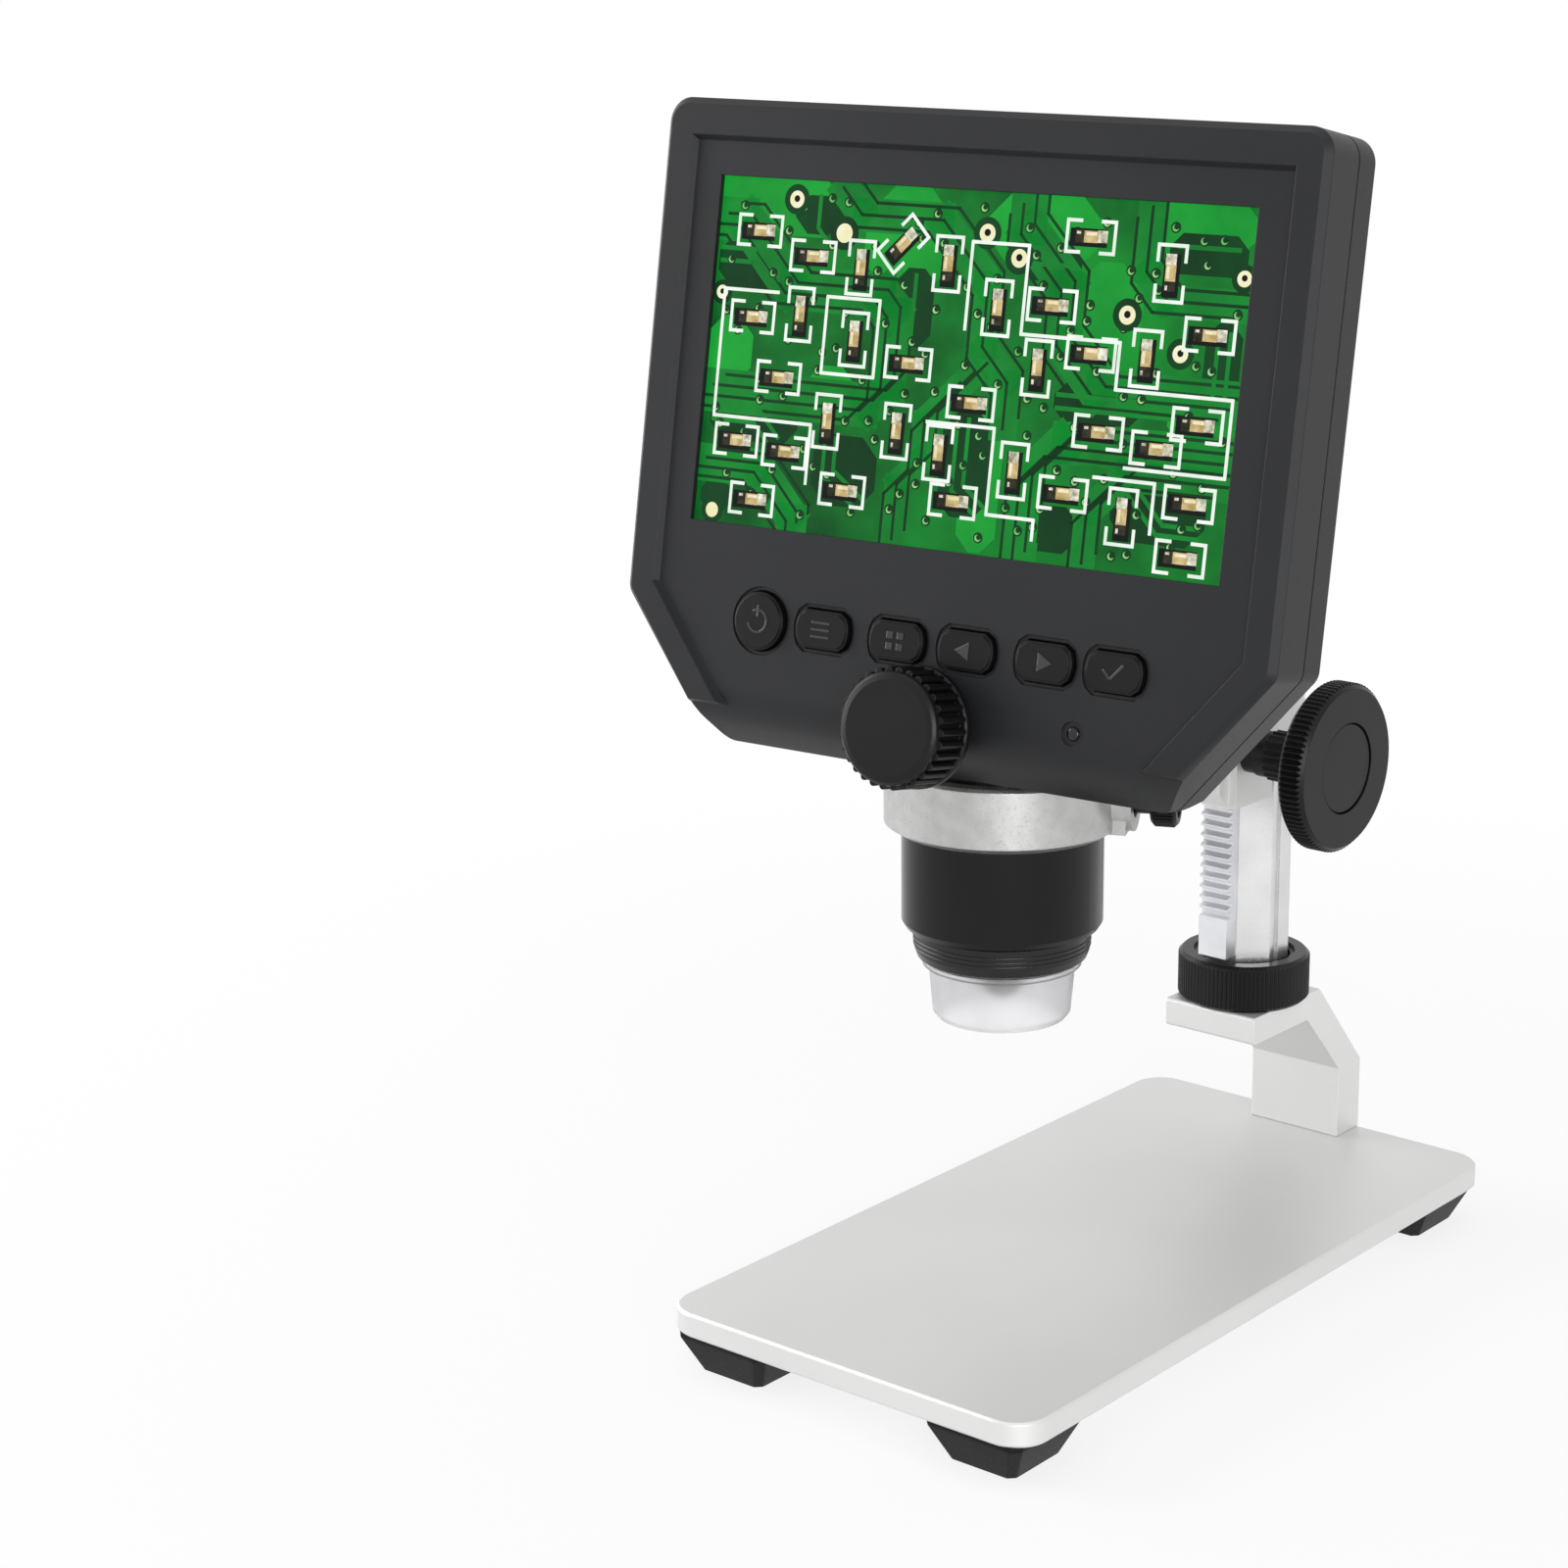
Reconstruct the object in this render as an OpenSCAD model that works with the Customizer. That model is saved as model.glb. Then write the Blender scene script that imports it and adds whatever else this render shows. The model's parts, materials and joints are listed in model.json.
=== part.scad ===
// Desktop digital microscope: a tilted display head clamped in the ring of a
// rack-and-pinion carriage that rides an octagonal column over a flat stage.
// Millimetres, +Z up, front towards -Y. Origin: centre of the stage's top face.

/* [Stage] */
// Width of the stage plate
base_w = 74; // [66:1:90]
// Depth of the stage plate, front to rear
base_l = 140; // [132:1:170]
// Thickness of the stage plate
base_t = 4.2; // [3.6:0.1:6]
// Corner radius of the stage plate
base_r = 6; // [3:0.5:12]
// Chamfer round the stage plate
base_edge = 0.4; // [0.2:0.1:0.8]
// Height of the rubber feet
foot_h = 7; // [5:0.5:12]
// Side of a foot at the floor
foot_bottom_w = 12.7; // [10:0.1:14]
// Side of a foot under the plate
foot_top_w = 18.7; // [16:0.1:20]
// Distance from the plate's side edge to a foot's centre
foot_inset_x = 11.3; // [10:0.1:13]
// Distance from the plate's end edge to a foot's centre
foot_inset_y = 10; // [10:0.1:13]

/* [Bracket] */
// Width of the bracket
bracket_w = 18.9; // [16:0.1:24]
// Thickness of the bracket's leg
leg_t = 7.6; // [6.5:0.1:10]
// Height of the leg's straight part
leg_h = 13.4; // [10:0.2:18]
// Height of the flange's top above the stage
flange_z = 31; // [28:0.5:36]
// Thickness of the bracket's flange
flange_t = 5.1; // [4.6:0.1:6]
// Reach of the flange in front of the column axis
flange_front = 10.8; // [9:0.1:14]
// Length of the flange behind the column axis, to the slope
flange_rear = 10.8; // [9:0.1:13]

/* [Column] */
// Distance from the stage centre back to the column axis
column_y = 44; // [42:0.5:48]
// Width of the octagonal column across its flats
column_af = 14.6; // [13:0.1:15]
// Length of the column above the flange
column_l = 125; // [115:1:150]
// Height of the plastic cap on the column
column_cap_h = 3; // [2:0.5:5]
// Outer radius of the knurled collar at the column's foot
collar_r = 11.8; // [11:0.1:14]
// Height of the knurled collar
collar_h = 8.5; // [6:0.5:12]
// Width of the rack strip
rack_w = 5.8; // [4.6:0.1:5.8]
// How far the rack stands out in front of the column
rack_out = 3.2; // [3:0.05:4.2]
// Depth of the groove that seats the rack
rack_groove = 0.8; // [0.5:0.1:1.2]
// Plain length at the foot of the rack
rack_plain = 7.4; // [5:0.1:12]

/* [Carriage] */
// Width of the carriage block
block_w = 19; // [18:0.5:24]
// Height of the carriage block
block_h = 20.8; // [20:0.2:26]
// Height of the block's top above the stage, at mid travel
block_top = 91.8; // [90.6:0.2:93]
// Distance from the block's front face to the pinion axis
block_front = 4.4; // [3.6:0.1:6]
// How far the sleeve stops short of the block's foot
sleeve_up = 3.8; // [2:0.2:6]
// Running clearance between column and sleeve
slide_fit = 0.1; // [0.05:0.01:0.2]
// Tooth module of rack and pinion
gear_m = 0.6; // [0.5:0.05:0.65]
// Teeth on the pinion
pinion_teeth = 14; // [12:1:15]
// Distance from the block's top down to the pinion axis
pinion_drop = 11.3; // [10.5:0.1:12]
// Radius of the pinion shaft
shaft_r = 2.5; // [2:0.1:2.9]
// Running clearance of the pinion shaft
shaft_fit = 0.05; // [0.02:0.01:0.1]

/* [Ring] */
// Height of the clamp ring and its arm
ring_h = 10.6; // [8:0.2:12]
// Distance from the block's top down to the ring's top
ring_drop = 2.7; // [1:0.1:5]
// Radial wall of the clamp ring
ring_wall = 2.74; // [2.2:0.02:4]
// Running clearance between barrel and ring
ring_fit = 0.06; // [0.03:0.01:0.1]
// Width of the arm between block and ring
arm_w = 16; // [12:0.5:18]
// Direction of the clamp screw, from the right towards the rear
clamp_angle = 25; // [15:1:40]
// Radius of the clamp screw's boss
boss_r = 4.9; // [4:0.1:5.2]
// Reach of the boss from the ring's axis
boss_reach = 21.6; // [20.5:0.1:24]
// Radius of the clamp screw's shank
clamp_r = 2; // [1.5:0.1:2.5]
// Radius of the clamp screw's head
clamp_head_r = 3.9; // [3.4:0.1:5]
// Length of the clamp screw's head
clamp_head_l = 4.2; // [3:0.1:6]

/* [Knobs] */
// Radius of the two height knobs
knob_r = 14.5; // [12:0.5:16]
// Thickness of a height knob
knob_t = 5; // [4:0.5:8]
// Distance from the middle of the shaft to a height knob's outer face
knob_x = 28.7; // [26:0.1:34]
// Radius of the flush disc in a height knob
knob_disc_r = 7.85; // [5:0.05:9]
// Grip teeth round a height knob
knob_teeth = 90; // [60:2:100]

/* [Barrel] */
// Distance from the stage centre forward to the lens axis
lens_y = -27.8; // [-29:0.1:-26]
// Outer radius of the barrel
barrel_r = 16.3; // [15.9:0.05:16.6]
// Wall of the barrel
barrel_wall = 1.5; // [1.3:0.1:1.6]
// Height of the barrel's lower edge above the stage
barrel_z = 61.8; // [60:0.2:63]
// Length of the barrel
barrel_l = 41.2; // [40.6:0.2:41.6]
// Height of the light ring's housing below the barrel
step_h = 5.4; // [4.8:0.1:7]
// Outer radius of the light ring's housing
step_r = 14.4; // [14.1:0.05:14.6]
// Outer radius of the clear cap's body
cap_r = 11.5; // [10.8:0.1:11.6]
// Length of the clear cap below the light ring
cap_h = 9.7; // [7:0.1:12]
// Wall of the clear cap
cap_wall = 1.1; // [0.8:0.05:1.4]
// Number of lamps in the light ring
lamp_count = 8; // [6:1:10]
// Radius of a lamp
lamp_r = 1.2; // [0.8:0.05:1.3]
// Radius of the circle the lamps sit on
lamp_ring_r = 8.8; // [8.4:0.1:9.1]
// Radius of the lens nozzle
nozzle_r = 5.3; // [4.5:0.1:5.5]

/* [Display head] */
// Turn of the head about the lens axis
head_yaw = 5.3; // [-20:0.1:20]
// Backward tilt of the display
head_tilt = 10.1; // [8.5:0.1:11]
// Height of the display's centre above the stage
head_z = 152.5; // [151.7:0.1:156]
// Reach of the display's centre in front of the lens axis
head_fwd = 12.4; // [12:0.1:12.8]
// Border between the display's picture and the head's side
border_w = 11.28; // [11:0.01:14]
// Top edge of the head above the display's centre
head_top = 39.1; // [38:0.1:44]
// Height of the knee where the cut corners start
knee_v = -39.5; // [-42:0.5:-37]
// Half width of the head's lower edge
chin_hw = 40.5; // [39:0.5:44]
// Lower edge of the head
chin_v = -62; // [-62.5:0.1:-61]
// Where the front bends back above the lower edge
crease_v = -55.5; // [-56:0.1:-55]
// Wall of the head's two shells
shell_wall = 1.8; // [1.4:0.1:2.2]
// Width of the raised rim round the front
rim_w = 5.2; // [4:0.1:5.6]
// Step from the raised rim down to the panel
rim_step = 1; // [0.5:0.1:1.4]
// Width of the display's picture
screen_w = 95.04; // [90:0.1:97]
// Height of the display's picture
screen_h = 53.86; // [50:0.1:56]
// Radius of the housing round the barrel
hump_r = 20; // [19:0.1:21]
// Height of the hump's shoulder above the stage
hump_z = 124; // [118:1:128]

/* [Controls] */
// Height of the row of keys
key_v = -41.8; // [-42.2:0.1:-41.5]
// Distances of the three pairs of keys from the middle
key_u = [6.3, 20.2, 32.3];
// Radius of the round power key
power_r = 4.6; // [4:0.05:5]
// Radius of the other keys
key_r = 4.9; // [4.4:0.05:5.1]
// Height of the other keys between their flats
key_h = 6; // [5:0.1:7]
// How far the keys stand out of the panel
key_out = 0.9; // [0.5:0.1:1.5]
// Travel of a key
key_travel = 0.45; // [0.3:0.05:0.5]
// Clearance round a key
key_fit = 0.25; // [0.15:0.05:0.4]
// Height of the focus knob's axis
focus_v = -54.2; // [-54.5:0.1:-54]
// Radius of the focus knob
focus_r = 9.5; // [8:0.1:10.5]
// Length of the focus knob
focus_l = 10.2; // [8:0.1:13]
// Grip ribs round the focus knob
focus_ribs = 30; // [18:2:32]

/* [Hidden] */

$fn = 96;
eps = 0.01;
silver = [0.86, 0.86, 0.87];
satin = [0.80, 0.80, 0.82];
charcoal = [0.22, 0.22, 0.24];
black = [0.10, 0.10, 0.11];
dark_rubber = [0.19, 0.19, 0.20];
steel = [0.62, 0.62, 0.64];
pcb = [0.05, 0.30, 0.18];

// Stage
foot_x = base_w/2 - foot_inset_x;
foot_y = base_l/2 - foot_inset_y;
foot_screw_r = 1.5;
foot_screw_head_r = 2.8;
foot_screw_head_h = 2;
foot_screw_bite = base_t - 1;
foot_sink = 3;

// Bracket
rear_y = base_l/2;
leg_y = rear_y - leg_t/2;
leg_screw_r = 2;
leg_screw_head_r = 3.9;
leg_screw_head_h = 2.2;
leg_screw_bite = 9;
leg_screw_x = bracket_w/2 - 4.2;
flange_bottom = flange_z - flange_t;
bracket_rear = column_y + flange_rear;

// Column
spigot_r = 4;
column_top = flange_z + column_l;
column_front = column_y - column_af/2;
column_screw_r = 2.5;
column_screw_head_r = 4.6;
column_screw_head_h = 3.2;
column_bore_l = 16;
column_seat = column_screw_head_h + 0.2;
flute_w = 1.7;
flute_d = 0.45;
flute_at = 0.9;
collar_bore_gap = 0.35;
octagon_r = column_af/2/cos(22.5);
collar_bore_r = octagon_r + collar_bore_gap;

// Gears
gear_pitch = PI*gear_m;
pitch_r = gear_m*pinion_teeth/2;
tip_r = pitch_r + gear_m;
backlash = 0.12;
rack_front = column_front - rack_out;
pinion_y = rack_front + gear_m - pitch_r;
pinion_z = block_top - pinion_drop;
rack_bottom = flange_z + collar_h + 1;
rack_top = column_top - 3;
rack_screw_r = 1;
rack_head = 10.5;
rack_screw_z = [rack_top - 0.7*rack_head, rack_top - 0.27*rack_head];

// Carriage block
block_y = pinion_y - block_front;
block_bottom = block_top - block_h;
sleeve_bottom = block_bottom + sleeve_up;
sleeve_r = block_w/2;
pinion_w = rack_w;
cavity_gap = 0.4;
bush_r = 3.7;
bush_step = 0.7;
bush_flange = 2.2;
bush_l = (block_w - pinion_w)/2 - cavity_gap;
hub_r = 4;
hub_plain = 2.4;
hub_ribs = 20;
tension_r = 1.5;

// Ring and arm
ring_top = block_top - ring_drop;
ring_bottom = ring_top - ring_h;
ring_bore = barrel_r + ring_fit;
ring_r = ring_bore + ring_wall;
ring_bevel_w = 1.6;
ring_bevel_h = 1;
clamp_z = ring_bottom + ring_h/2;
clamp_gap = 2.7;
lug_w = 2*boss_r - 1.2;
lug_h = ring_h - 1.2;
arm_joint = 3;
arm_seat = 4;
arm_screw_in = block_front - (bush_r - bush_step) - 0.4;
arm_screw_r = 1.5;
arm_screw_head_r = 2.75;
arm_screw_x = arm_w/2 - 3.4;
arm_screw_z = ring_bottom + ring_h/2;

// Barrel
barrel_top = barrel_z + barrel_l;
barrel_in = barrel_r - barrel_wall;
barrel_lip = barrel_in - 1.4;
step_top = barrel_z - 0.2;
step_bottom = barrel_z - step_h;
collar_in = cap_r + 0.5;
cap_fit = 0.05;
cap_collar_h = 2.5;
spigot_top = barrel_z + 4.2;
lamp_board_z = step_bottom + 5.6;
lamp_board_t = 1.2;
nozzle_gap = 0.3;
nozzle_out = 6;
nozzle_tip = 2;
cap_bottom = step_bottom - cap_h;
cap_flange_t = 0.8;

// Lens tube
tube_r = 8;
tube_bottom = lamp_board_z + lamp_board_t + 2.4;
tube_top = barrel_top - 11;
focus_m = 0.5;
focus_teeth = 12;
focus_pitch_r = focus_m*focus_teeth/2;
focus_shaft_r = 1.5;
focus_n = -10.2;
focus_gear_w = 4;
focus_fwd = head_fwd + focus_n*cos(head_tilt) - focus_v*sin(head_tilt);
focus_z = head_z + focus_v*cos(head_tilt) + focus_n*sin(head_tilt);
sensor_z = barrel_top - 4;

// Head: n runs out of the display's picture, v up it, u to the right
rim_n = 2;
panel_n = rim_n - rim_step;
panel_back = panel_n - shell_wall;
panel_top = head_top - rim_w - 0.6;
part_n = -7.5;
back_n = -15.2;
back_in = back_n + shell_wall;
rim_edge = 1.1;
head_hw = screen_w/2 + border_w;
head_corners = [[-head_hw, head_top], [head_hw, head_top], [head_hw, knee_v],
    [chin_hw, chin_v], [-chin_hw, chin_v], [-head_hw, knee_v]];
head_radii = [4, 4, 3, 3, 3, 3];
head_screws = [[head_hw - 3.2, 28], [-head_hw + 3.2, 28],
    [chin_hw - 3.5, chin_v + 10], [-chin_hw + 3.5, chin_v + 10]];
head_boss_r = 2.6;
head_screw_r = 1;
head_screw_head_r = 1.9;
head_screw_head_h = 1.5;
head_screw_tip = panel_back - 2;
window_gap = 0.6;
module_gap = 4.28;
module_w = 2*(head_hw - shell_wall - module_gap);
module_h = screen_h + 13.3;
module_t = 3.2;
glass_w = screen_w + 6;
glass_h = screen_h + 6;
glass_t = 0.7;
key_flange = 0.8;
key_board_n = -5;
key_board_t = 1.2;
board_edge = 0.3;
switch_h = 0.4;
key_foot = key_board_n + switch_h + key_travel + 0.15;
battery_w = 52;
battery_h = 34;
battery_t = 4.3;
battery_gap = 0.3;
main_n = -4.6;
main_t = 1.2;
status_u = 26;
status_v = -51.8;
status_r = 1.1;
key_corner = 0.6;
key_slope = 0.75;
status_seat = 0.8;
status_deep = 0.45;
usb_v = 6;
card_v = -12;
focus_back = panel_n + 0.4;

function unit(a) = a/norm(a);
function ring_pick(list, i) = list[(i + len(list)) % len(list)];
// Corner i of a closed outline: unit vectors to its neighbours, half angle
function to_prev(p, i) = unit(ring_pick(p, i - 1) - p[i]);
function to_next(p, i) = unit(ring_pick(p, i + 1) - p[i]);
function half_angle(p, i) = acos(to_prev(p, i)*to_next(p, i))/2;
// Outline moved inwards by d, corner by corner
function inset(p, d) = [for (i = [0:len(p) - 1])
    p[i] + unit(to_prev(p, i) + to_next(p, i))*d/sin(half_angle(p, i))];

// Flat plate with round corners and chamfered edges, from z = 0 up
module soft_plate(w, l, t, r, c) {
    for (sx = [-1, 1], sy = [-1, 1])
        translate([sx*(w/2 - r), sy*(l/2 - r), 0])
            rotate_extrude()
                polygon([[0, 0], [r - c, 0], [r, c], [r, t - c], [r - c, t], [0, t]]);
    rotate([90, 0, 90])
        linear_extrude(w - 2*r, center = true)
            polygon([[-l/2 + c, 0], [l/2 - c, 0], [l/2, c], [l/2, t - c],
                [l/2 - c, t], [-l/2 + c, t], [-l/2, t - c], [-l/2, c]]);
    rotate([90, 0, 0])
        linear_extrude(l - 2*r, center = true)
            polygon([[-w/2 + c, 0], [w/2 - c, 0], [w/2, c], [w/2, t - c],
                [w/2 - c, t], [-w/2 + c, t], [-w/2, t - c], [-w/2, c]]);
}

// Side profile in (y, z), extruded across x
module across(w) {
    rotate([90, 0, 90])
        linear_extrude(w, center = true)
            children();
}

// Cap-head screw standing on z = 0, head upwards, with a hexagon socket
module cap_screw(r, l, head_r, head_h) {
    difference() {
        union() {
            translate([0, 0, -l])
                cylinder(h = l + eps, r = r);
            cylinder(h = head_h, r = head_r);
        }
        translate([0, 0, head_h*0.45])
            cylinder(h = head_h, r = head_r*0.5, $fn = 6);
    }
}

// Pan-head screw with a cross recess
module pan_screw(r, l, head_r, head_h) {
    difference() {
        union() {
            translate([0, 0, -l])
                cylinder(h = l + eps, r = r);
            rotate_extrude()
                polygon([[0, 0], [head_r, 0], [head_r, head_h*0.5],
                    [head_r*0.8, head_h], [0, head_h]]);
        }
        for (a = [0, 90])
            rotate([0, 0, a])
                translate([-head_r*0.6, -head_r*0.13, head_h*0.45])
                    cube([head_r*1.2, head_r*0.26, head_h]);
    }
}

// Straight knurl: a disc outline with n teeth between radii a and b
module knurl(a, b, n) {
    polygon([for (i = [0:n - 1], k = [0:3])
        let (t = 360/n*(i + [0, 0.3, 0.5, 0.8][k]), q = [a, b, b, a][k])
            q*[cos(t), sin(t)]]);
}

// Spur gear outline
module gear(z, m) {
    r = m*z/2;
    a = r - 1.25*m;
    b = r + m;
    w = 90/z*(1 - backlash/2);
    polygon([for (i = [0:z - 1], k = [0:3])
        let (t = 360/z*i + [-1.5, -0.55, 0.55, 1.5][k]*w, q = [a, b, b, a][k])
            q*[cos(t), sin(t)]]);
}

// One rack tooth: pitch line on x = 0, tip towards -x, centred on y = 0
module rack_tooth(m) {
    w = PI*m/4*(1 - backlash);
    polygon([[1.25*m + eps, -w*1.6], [1.25*m + eps, w*1.6],
        [-m, w*0.48], [-m, -w*0.48]]);
}

// Outline with its corners rounded by true arcs
module rounded(p, radii) {
    polygon([for (i = [0:len(p) - 1], k = [0, 1])
        let (t = radii[i]/tan(half_angle(p, i)))
            p[i] + (k == 0 ? to_prev(p, i) : to_next(p, i))*t]);
    for (i = [0:len(p) - 1])
        translate(p[i] + unit(to_prev(p, i) + to_next(p, i))*radii[i]/sin(half_angle(p, i)))
            circle(radii[i]);
}

module head_outline(d) {
    rounded(inset(head_corners, d), [for (r = head_radii) max(r - d, 0.6)]);
}

module in_lens() {
    translate([0, lens_y, 0])
        rotate([0, 0, head_yaw])
            children();
}

module in_head() {
    in_lens()
        translate([0, -head_fwd, head_z])
            rotate([-head_tilt, 0, 0])
                children();
}

// Slab of a (u, v) outline between two levels of n
module slab(n0, n1) {
    translate([0, -n0, 0])
        rotate([90, 0, 0])
            linear_extrude(n1 - n0)
                children();
}

// Head profile in (n, v), extruded across u
module head_side(w) {
    rotate([90, 0, -90])
        linear_extrude(w, center = true)
            children();
}

module boxed(w, h) {
    square([w, h], center = true);
}

// ---- Stage ----

module foot_places() {
    for (sx = [-1, 1], sy = [-1, 1])
        translate([sx*foot_x, sy*foot_y, -base_t])
            children();
}

module leg_screw_places() {
    for (sx = [-1, 1])
        translate([sx*leg_screw_x, leg_y, -base_t])
            children();
}

module base_plate() {
    color(silver)
        difference() {
            translate([0, 0, -base_t])
                soft_plate(base_w, base_l, base_t, base_r, base_edge);
            foot_places()
                translate([0, 0, -1])
                    cylinder(h = 1 + foot_screw_bite, r = foot_screw_r);
            leg_screw_places() {
                translate([0, 0, -1])
                    cylinder(h = base_t + 2, r = leg_screw_r);
                translate([0, 0, -1])
                    cylinder(h = 1 + leg_screw_head_h, r = leg_screw_head_r);
            }
        }
}

// Foot outline seen from one side: a trapezoid below z = 0
module foot_side(b, t) {
    polygon([[-b/2, -foot_h], [b/2, -foot_h], [t/2, -0.8], [t/2, 0],
        [-t/2, 0], [-t/2, -0.8]]);
}

module one_foot() {
    difference() {
        intersection() {
            across(foot_top_w)
                foot_side(foot_bottom_w, foot_top_w);
            rotate([0, 0, 90])
                across(foot_top_w)
                    foot_side(foot_bottom_w, foot_top_w);
            for (a = [45])
                rotate([0, 0, a])
                    across(foot_top_w*1.32)
                        foot_side(foot_bottom_w*1.3, foot_top_w*1.3);
            rotate([0, 0, -45])
                across(foot_top_w*1.32)
                    foot_side(foot_bottom_w*1.3, foot_top_w*1.3);
        }
        translate([0, 0, -foot_h - 1])
            cylinder(h = foot_h + 2, r = foot_screw_r);
        translate([0, 0, -foot_h - 1])
            cylinder(h = 1 + foot_sink, r = foot_screw_head_r + 0.4);
    }
}

module base_feet() {
    color(dark_rubber)
        foot_places()
            one_foot();
}

module foot_screws() {
    color(steel)
        foot_places()
            translate([0, 0, -foot_h + foot_sink])
                rotate([180, 0, 0])
                    pan_screw(foot_screw_r, foot_h - foot_sink + foot_screw_bite,
                        foot_screw_head_r, foot_screw_head_h);
}

// ---- Bracket and column ----

module bracket() {
    c = 0.4;
    color(silver)
        difference() {
            across(bracket_w)
                polygon([[rear_y - leg_t, 0], [rear_y, 0], [rear_y, leg_h],
                    [bracket_rear + c, flange_z - c], [bracket_rear, flange_z],
                    [column_y - flange_front + c, flange_z],
                    [column_y - flange_front, flange_z - c],
                    [column_y - flange_front, flange_bottom + c],
                    [column_y - flange_front + c, flange_bottom],
                    [bracket_rear - flange_t*0.75, flange_bottom],
                    [rear_y - leg_t, leg_h]]);
            translate([0, column_y, flange_bottom - 1])
                cylinder(h = flange_t + 2, r = spigot_r);
            translate([0, column_y, flange_bottom - 1])
                cylinder(h = 1 + column_seat, r = column_screw_head_r + 0.2);
            leg_screw_places()
                cylinder(h = base_t + leg_screw_bite, r = leg_screw_r);
        }
}

module bracket_screws() {
    color(steel)
        leg_screw_places()
            translate([0, 0, leg_screw_head_h])
                rotate([180, 0, 0])
                    cap_screw(leg_screw_r, base_t - leg_screw_head_h + leg_screw_bite,
                        leg_screw_head_r, leg_screw_head_h - 0.2);
}

module octagon(af) {
    rotate([0, 0, 22.5])
        circle(af/2/cos(22.5), $fn = 8);
}

module column() {
    color(satin)
        translate([0, column_y, 0])
            difference() {
                union() {
                    translate([0, 0, flange_z])
                        linear_extrude(column_l)
                            octagon(column_af);
                    translate([0, 0, flange_bottom + column_seat])
                        cylinder(h = flange_t - column_seat + eps, r = spigot_r);
                }
                // flute along each side, behind the front facets
                for (sx = [-1, 1])
                    translate([sx*column_af/2, flute_at + flute_w/2 - column_af/2*tan(22.5),
                        flange_z + column_l/2])
                        cube([2*flute_d, flute_w, column_l + 2], center = true);
                translate([-rack_w/2, -column_af/2 - 1, rack_bottom])
                    cube([rack_w, 1 + rack_groove, column_l]);
                translate([0, 0, flange_bottom])
                    cylinder(h = column_bore_l, r = column_screw_r);
                translate([0, 0, column_top - column_bore_l])
                    cylinder(h = column_bore_l + 1, r = spigot_r - 1);
                for (z = rack_screw_z)
                    translate([0, -column_af/2 + rack_groove - eps, z])
                        rotate([-90, 0, 0])
                            cylinder(h = 3, r = rack_screw_r);
            }
}

module column_screw() {
    color(steel)
        translate([0, column_y, flange_bottom + column_seat])
            rotate([180, 0, 0])
                cap_screw(column_screw_r, column_bore_l - column_seat - 2, column_screw_head_r,
                    column_screw_head_h);
}

module rack() {
    back = rack_out + rack_groove;
    steps = floor((rack_top - rack_bottom - rack_plain - gear_pitch)/gear_pitch);
    first = pinion_z + gear_pitch/2
        - gear_pitch*floor((pinion_z + gear_pitch/2 - rack_bottom - rack_plain
            - gear_pitch/2)/gear_pitch);
    color(satin)
        difference() {
            translate([0, rack_front, 0])
                union() {
                    translate([-rack_w/2, 0, rack_bottom])
                        cube([rack_w, back, rack_plain]);
                    translate([-rack_w/2, 2.25*gear_m, rack_bottom])
                        cube([rack_w, back - 2.25*gear_m, rack_top - rack_bottom]);
                    across(rack_w)
                        for (i = [0:steps])
                            if (first + i*gear_pitch < rack_top - gear_pitch/2)
                                translate([gear_m, first + i*gear_pitch])
                                    rack_tooth(gear_m);
                    translate([-rack_w/2, 0, rack_top - rack_head])
                        cube([rack_w, back, rack_head]);
                }
            for (z = rack_screw_z)
                translate([0, rack_front, z])
                    rotate([-90, 0, 0]) {
                        translate([0, 0, -1])
                            cylinder(h = back + 2, r = rack_screw_r);
                        translate([0, 0, -1])
                            cylinder(h = 2, r = rack_screw_r*1.8);
                    }
        }
}

module rack_screws() {
    color(steel)
        for (z = rack_screw_z)
            translate([0, rack_front + 1, z])
                rotate([90, 0, 0])
                    pan_screw(rack_screw_r, rack_out + rack_groove + 1, rack_screw_r*1.8,
                        0.9);
}

module column_cap() {
    color(black)
        translate([0, column_y, column_top]) {
            linear_extrude(column_cap_h)
                octagon(column_af);
            translate([0, 0, -6])
                cylinder(h = 6 + eps, r = spigot_r - 1);
        }
}

module knurled_collar() {
    c = 0.7;
    color(black)
        translate([0, column_y, flange_z])
            difference() {
                intersection() {
                    linear_extrude(collar_h)
                        knurl(collar_r - 0.25, collar_r, 90);
                    rotate_extrude()
                        polygon([[0, 0], [collar_r - c, 0], [collar_r, c],
                            [collar_r, collar_h - c], [collar_r - c, collar_h],
                            [0, collar_h]]);
                }
                translate([0, 0, -1])
                    cylinder(h = collar_h + 2, r = collar_bore_r);
                translate([0, 0, collar_h - 0.6])
                    cylinder(h = 1, r = collar_bore_r + 0.8);
            }
}

// ---- Carriage ----

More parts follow.
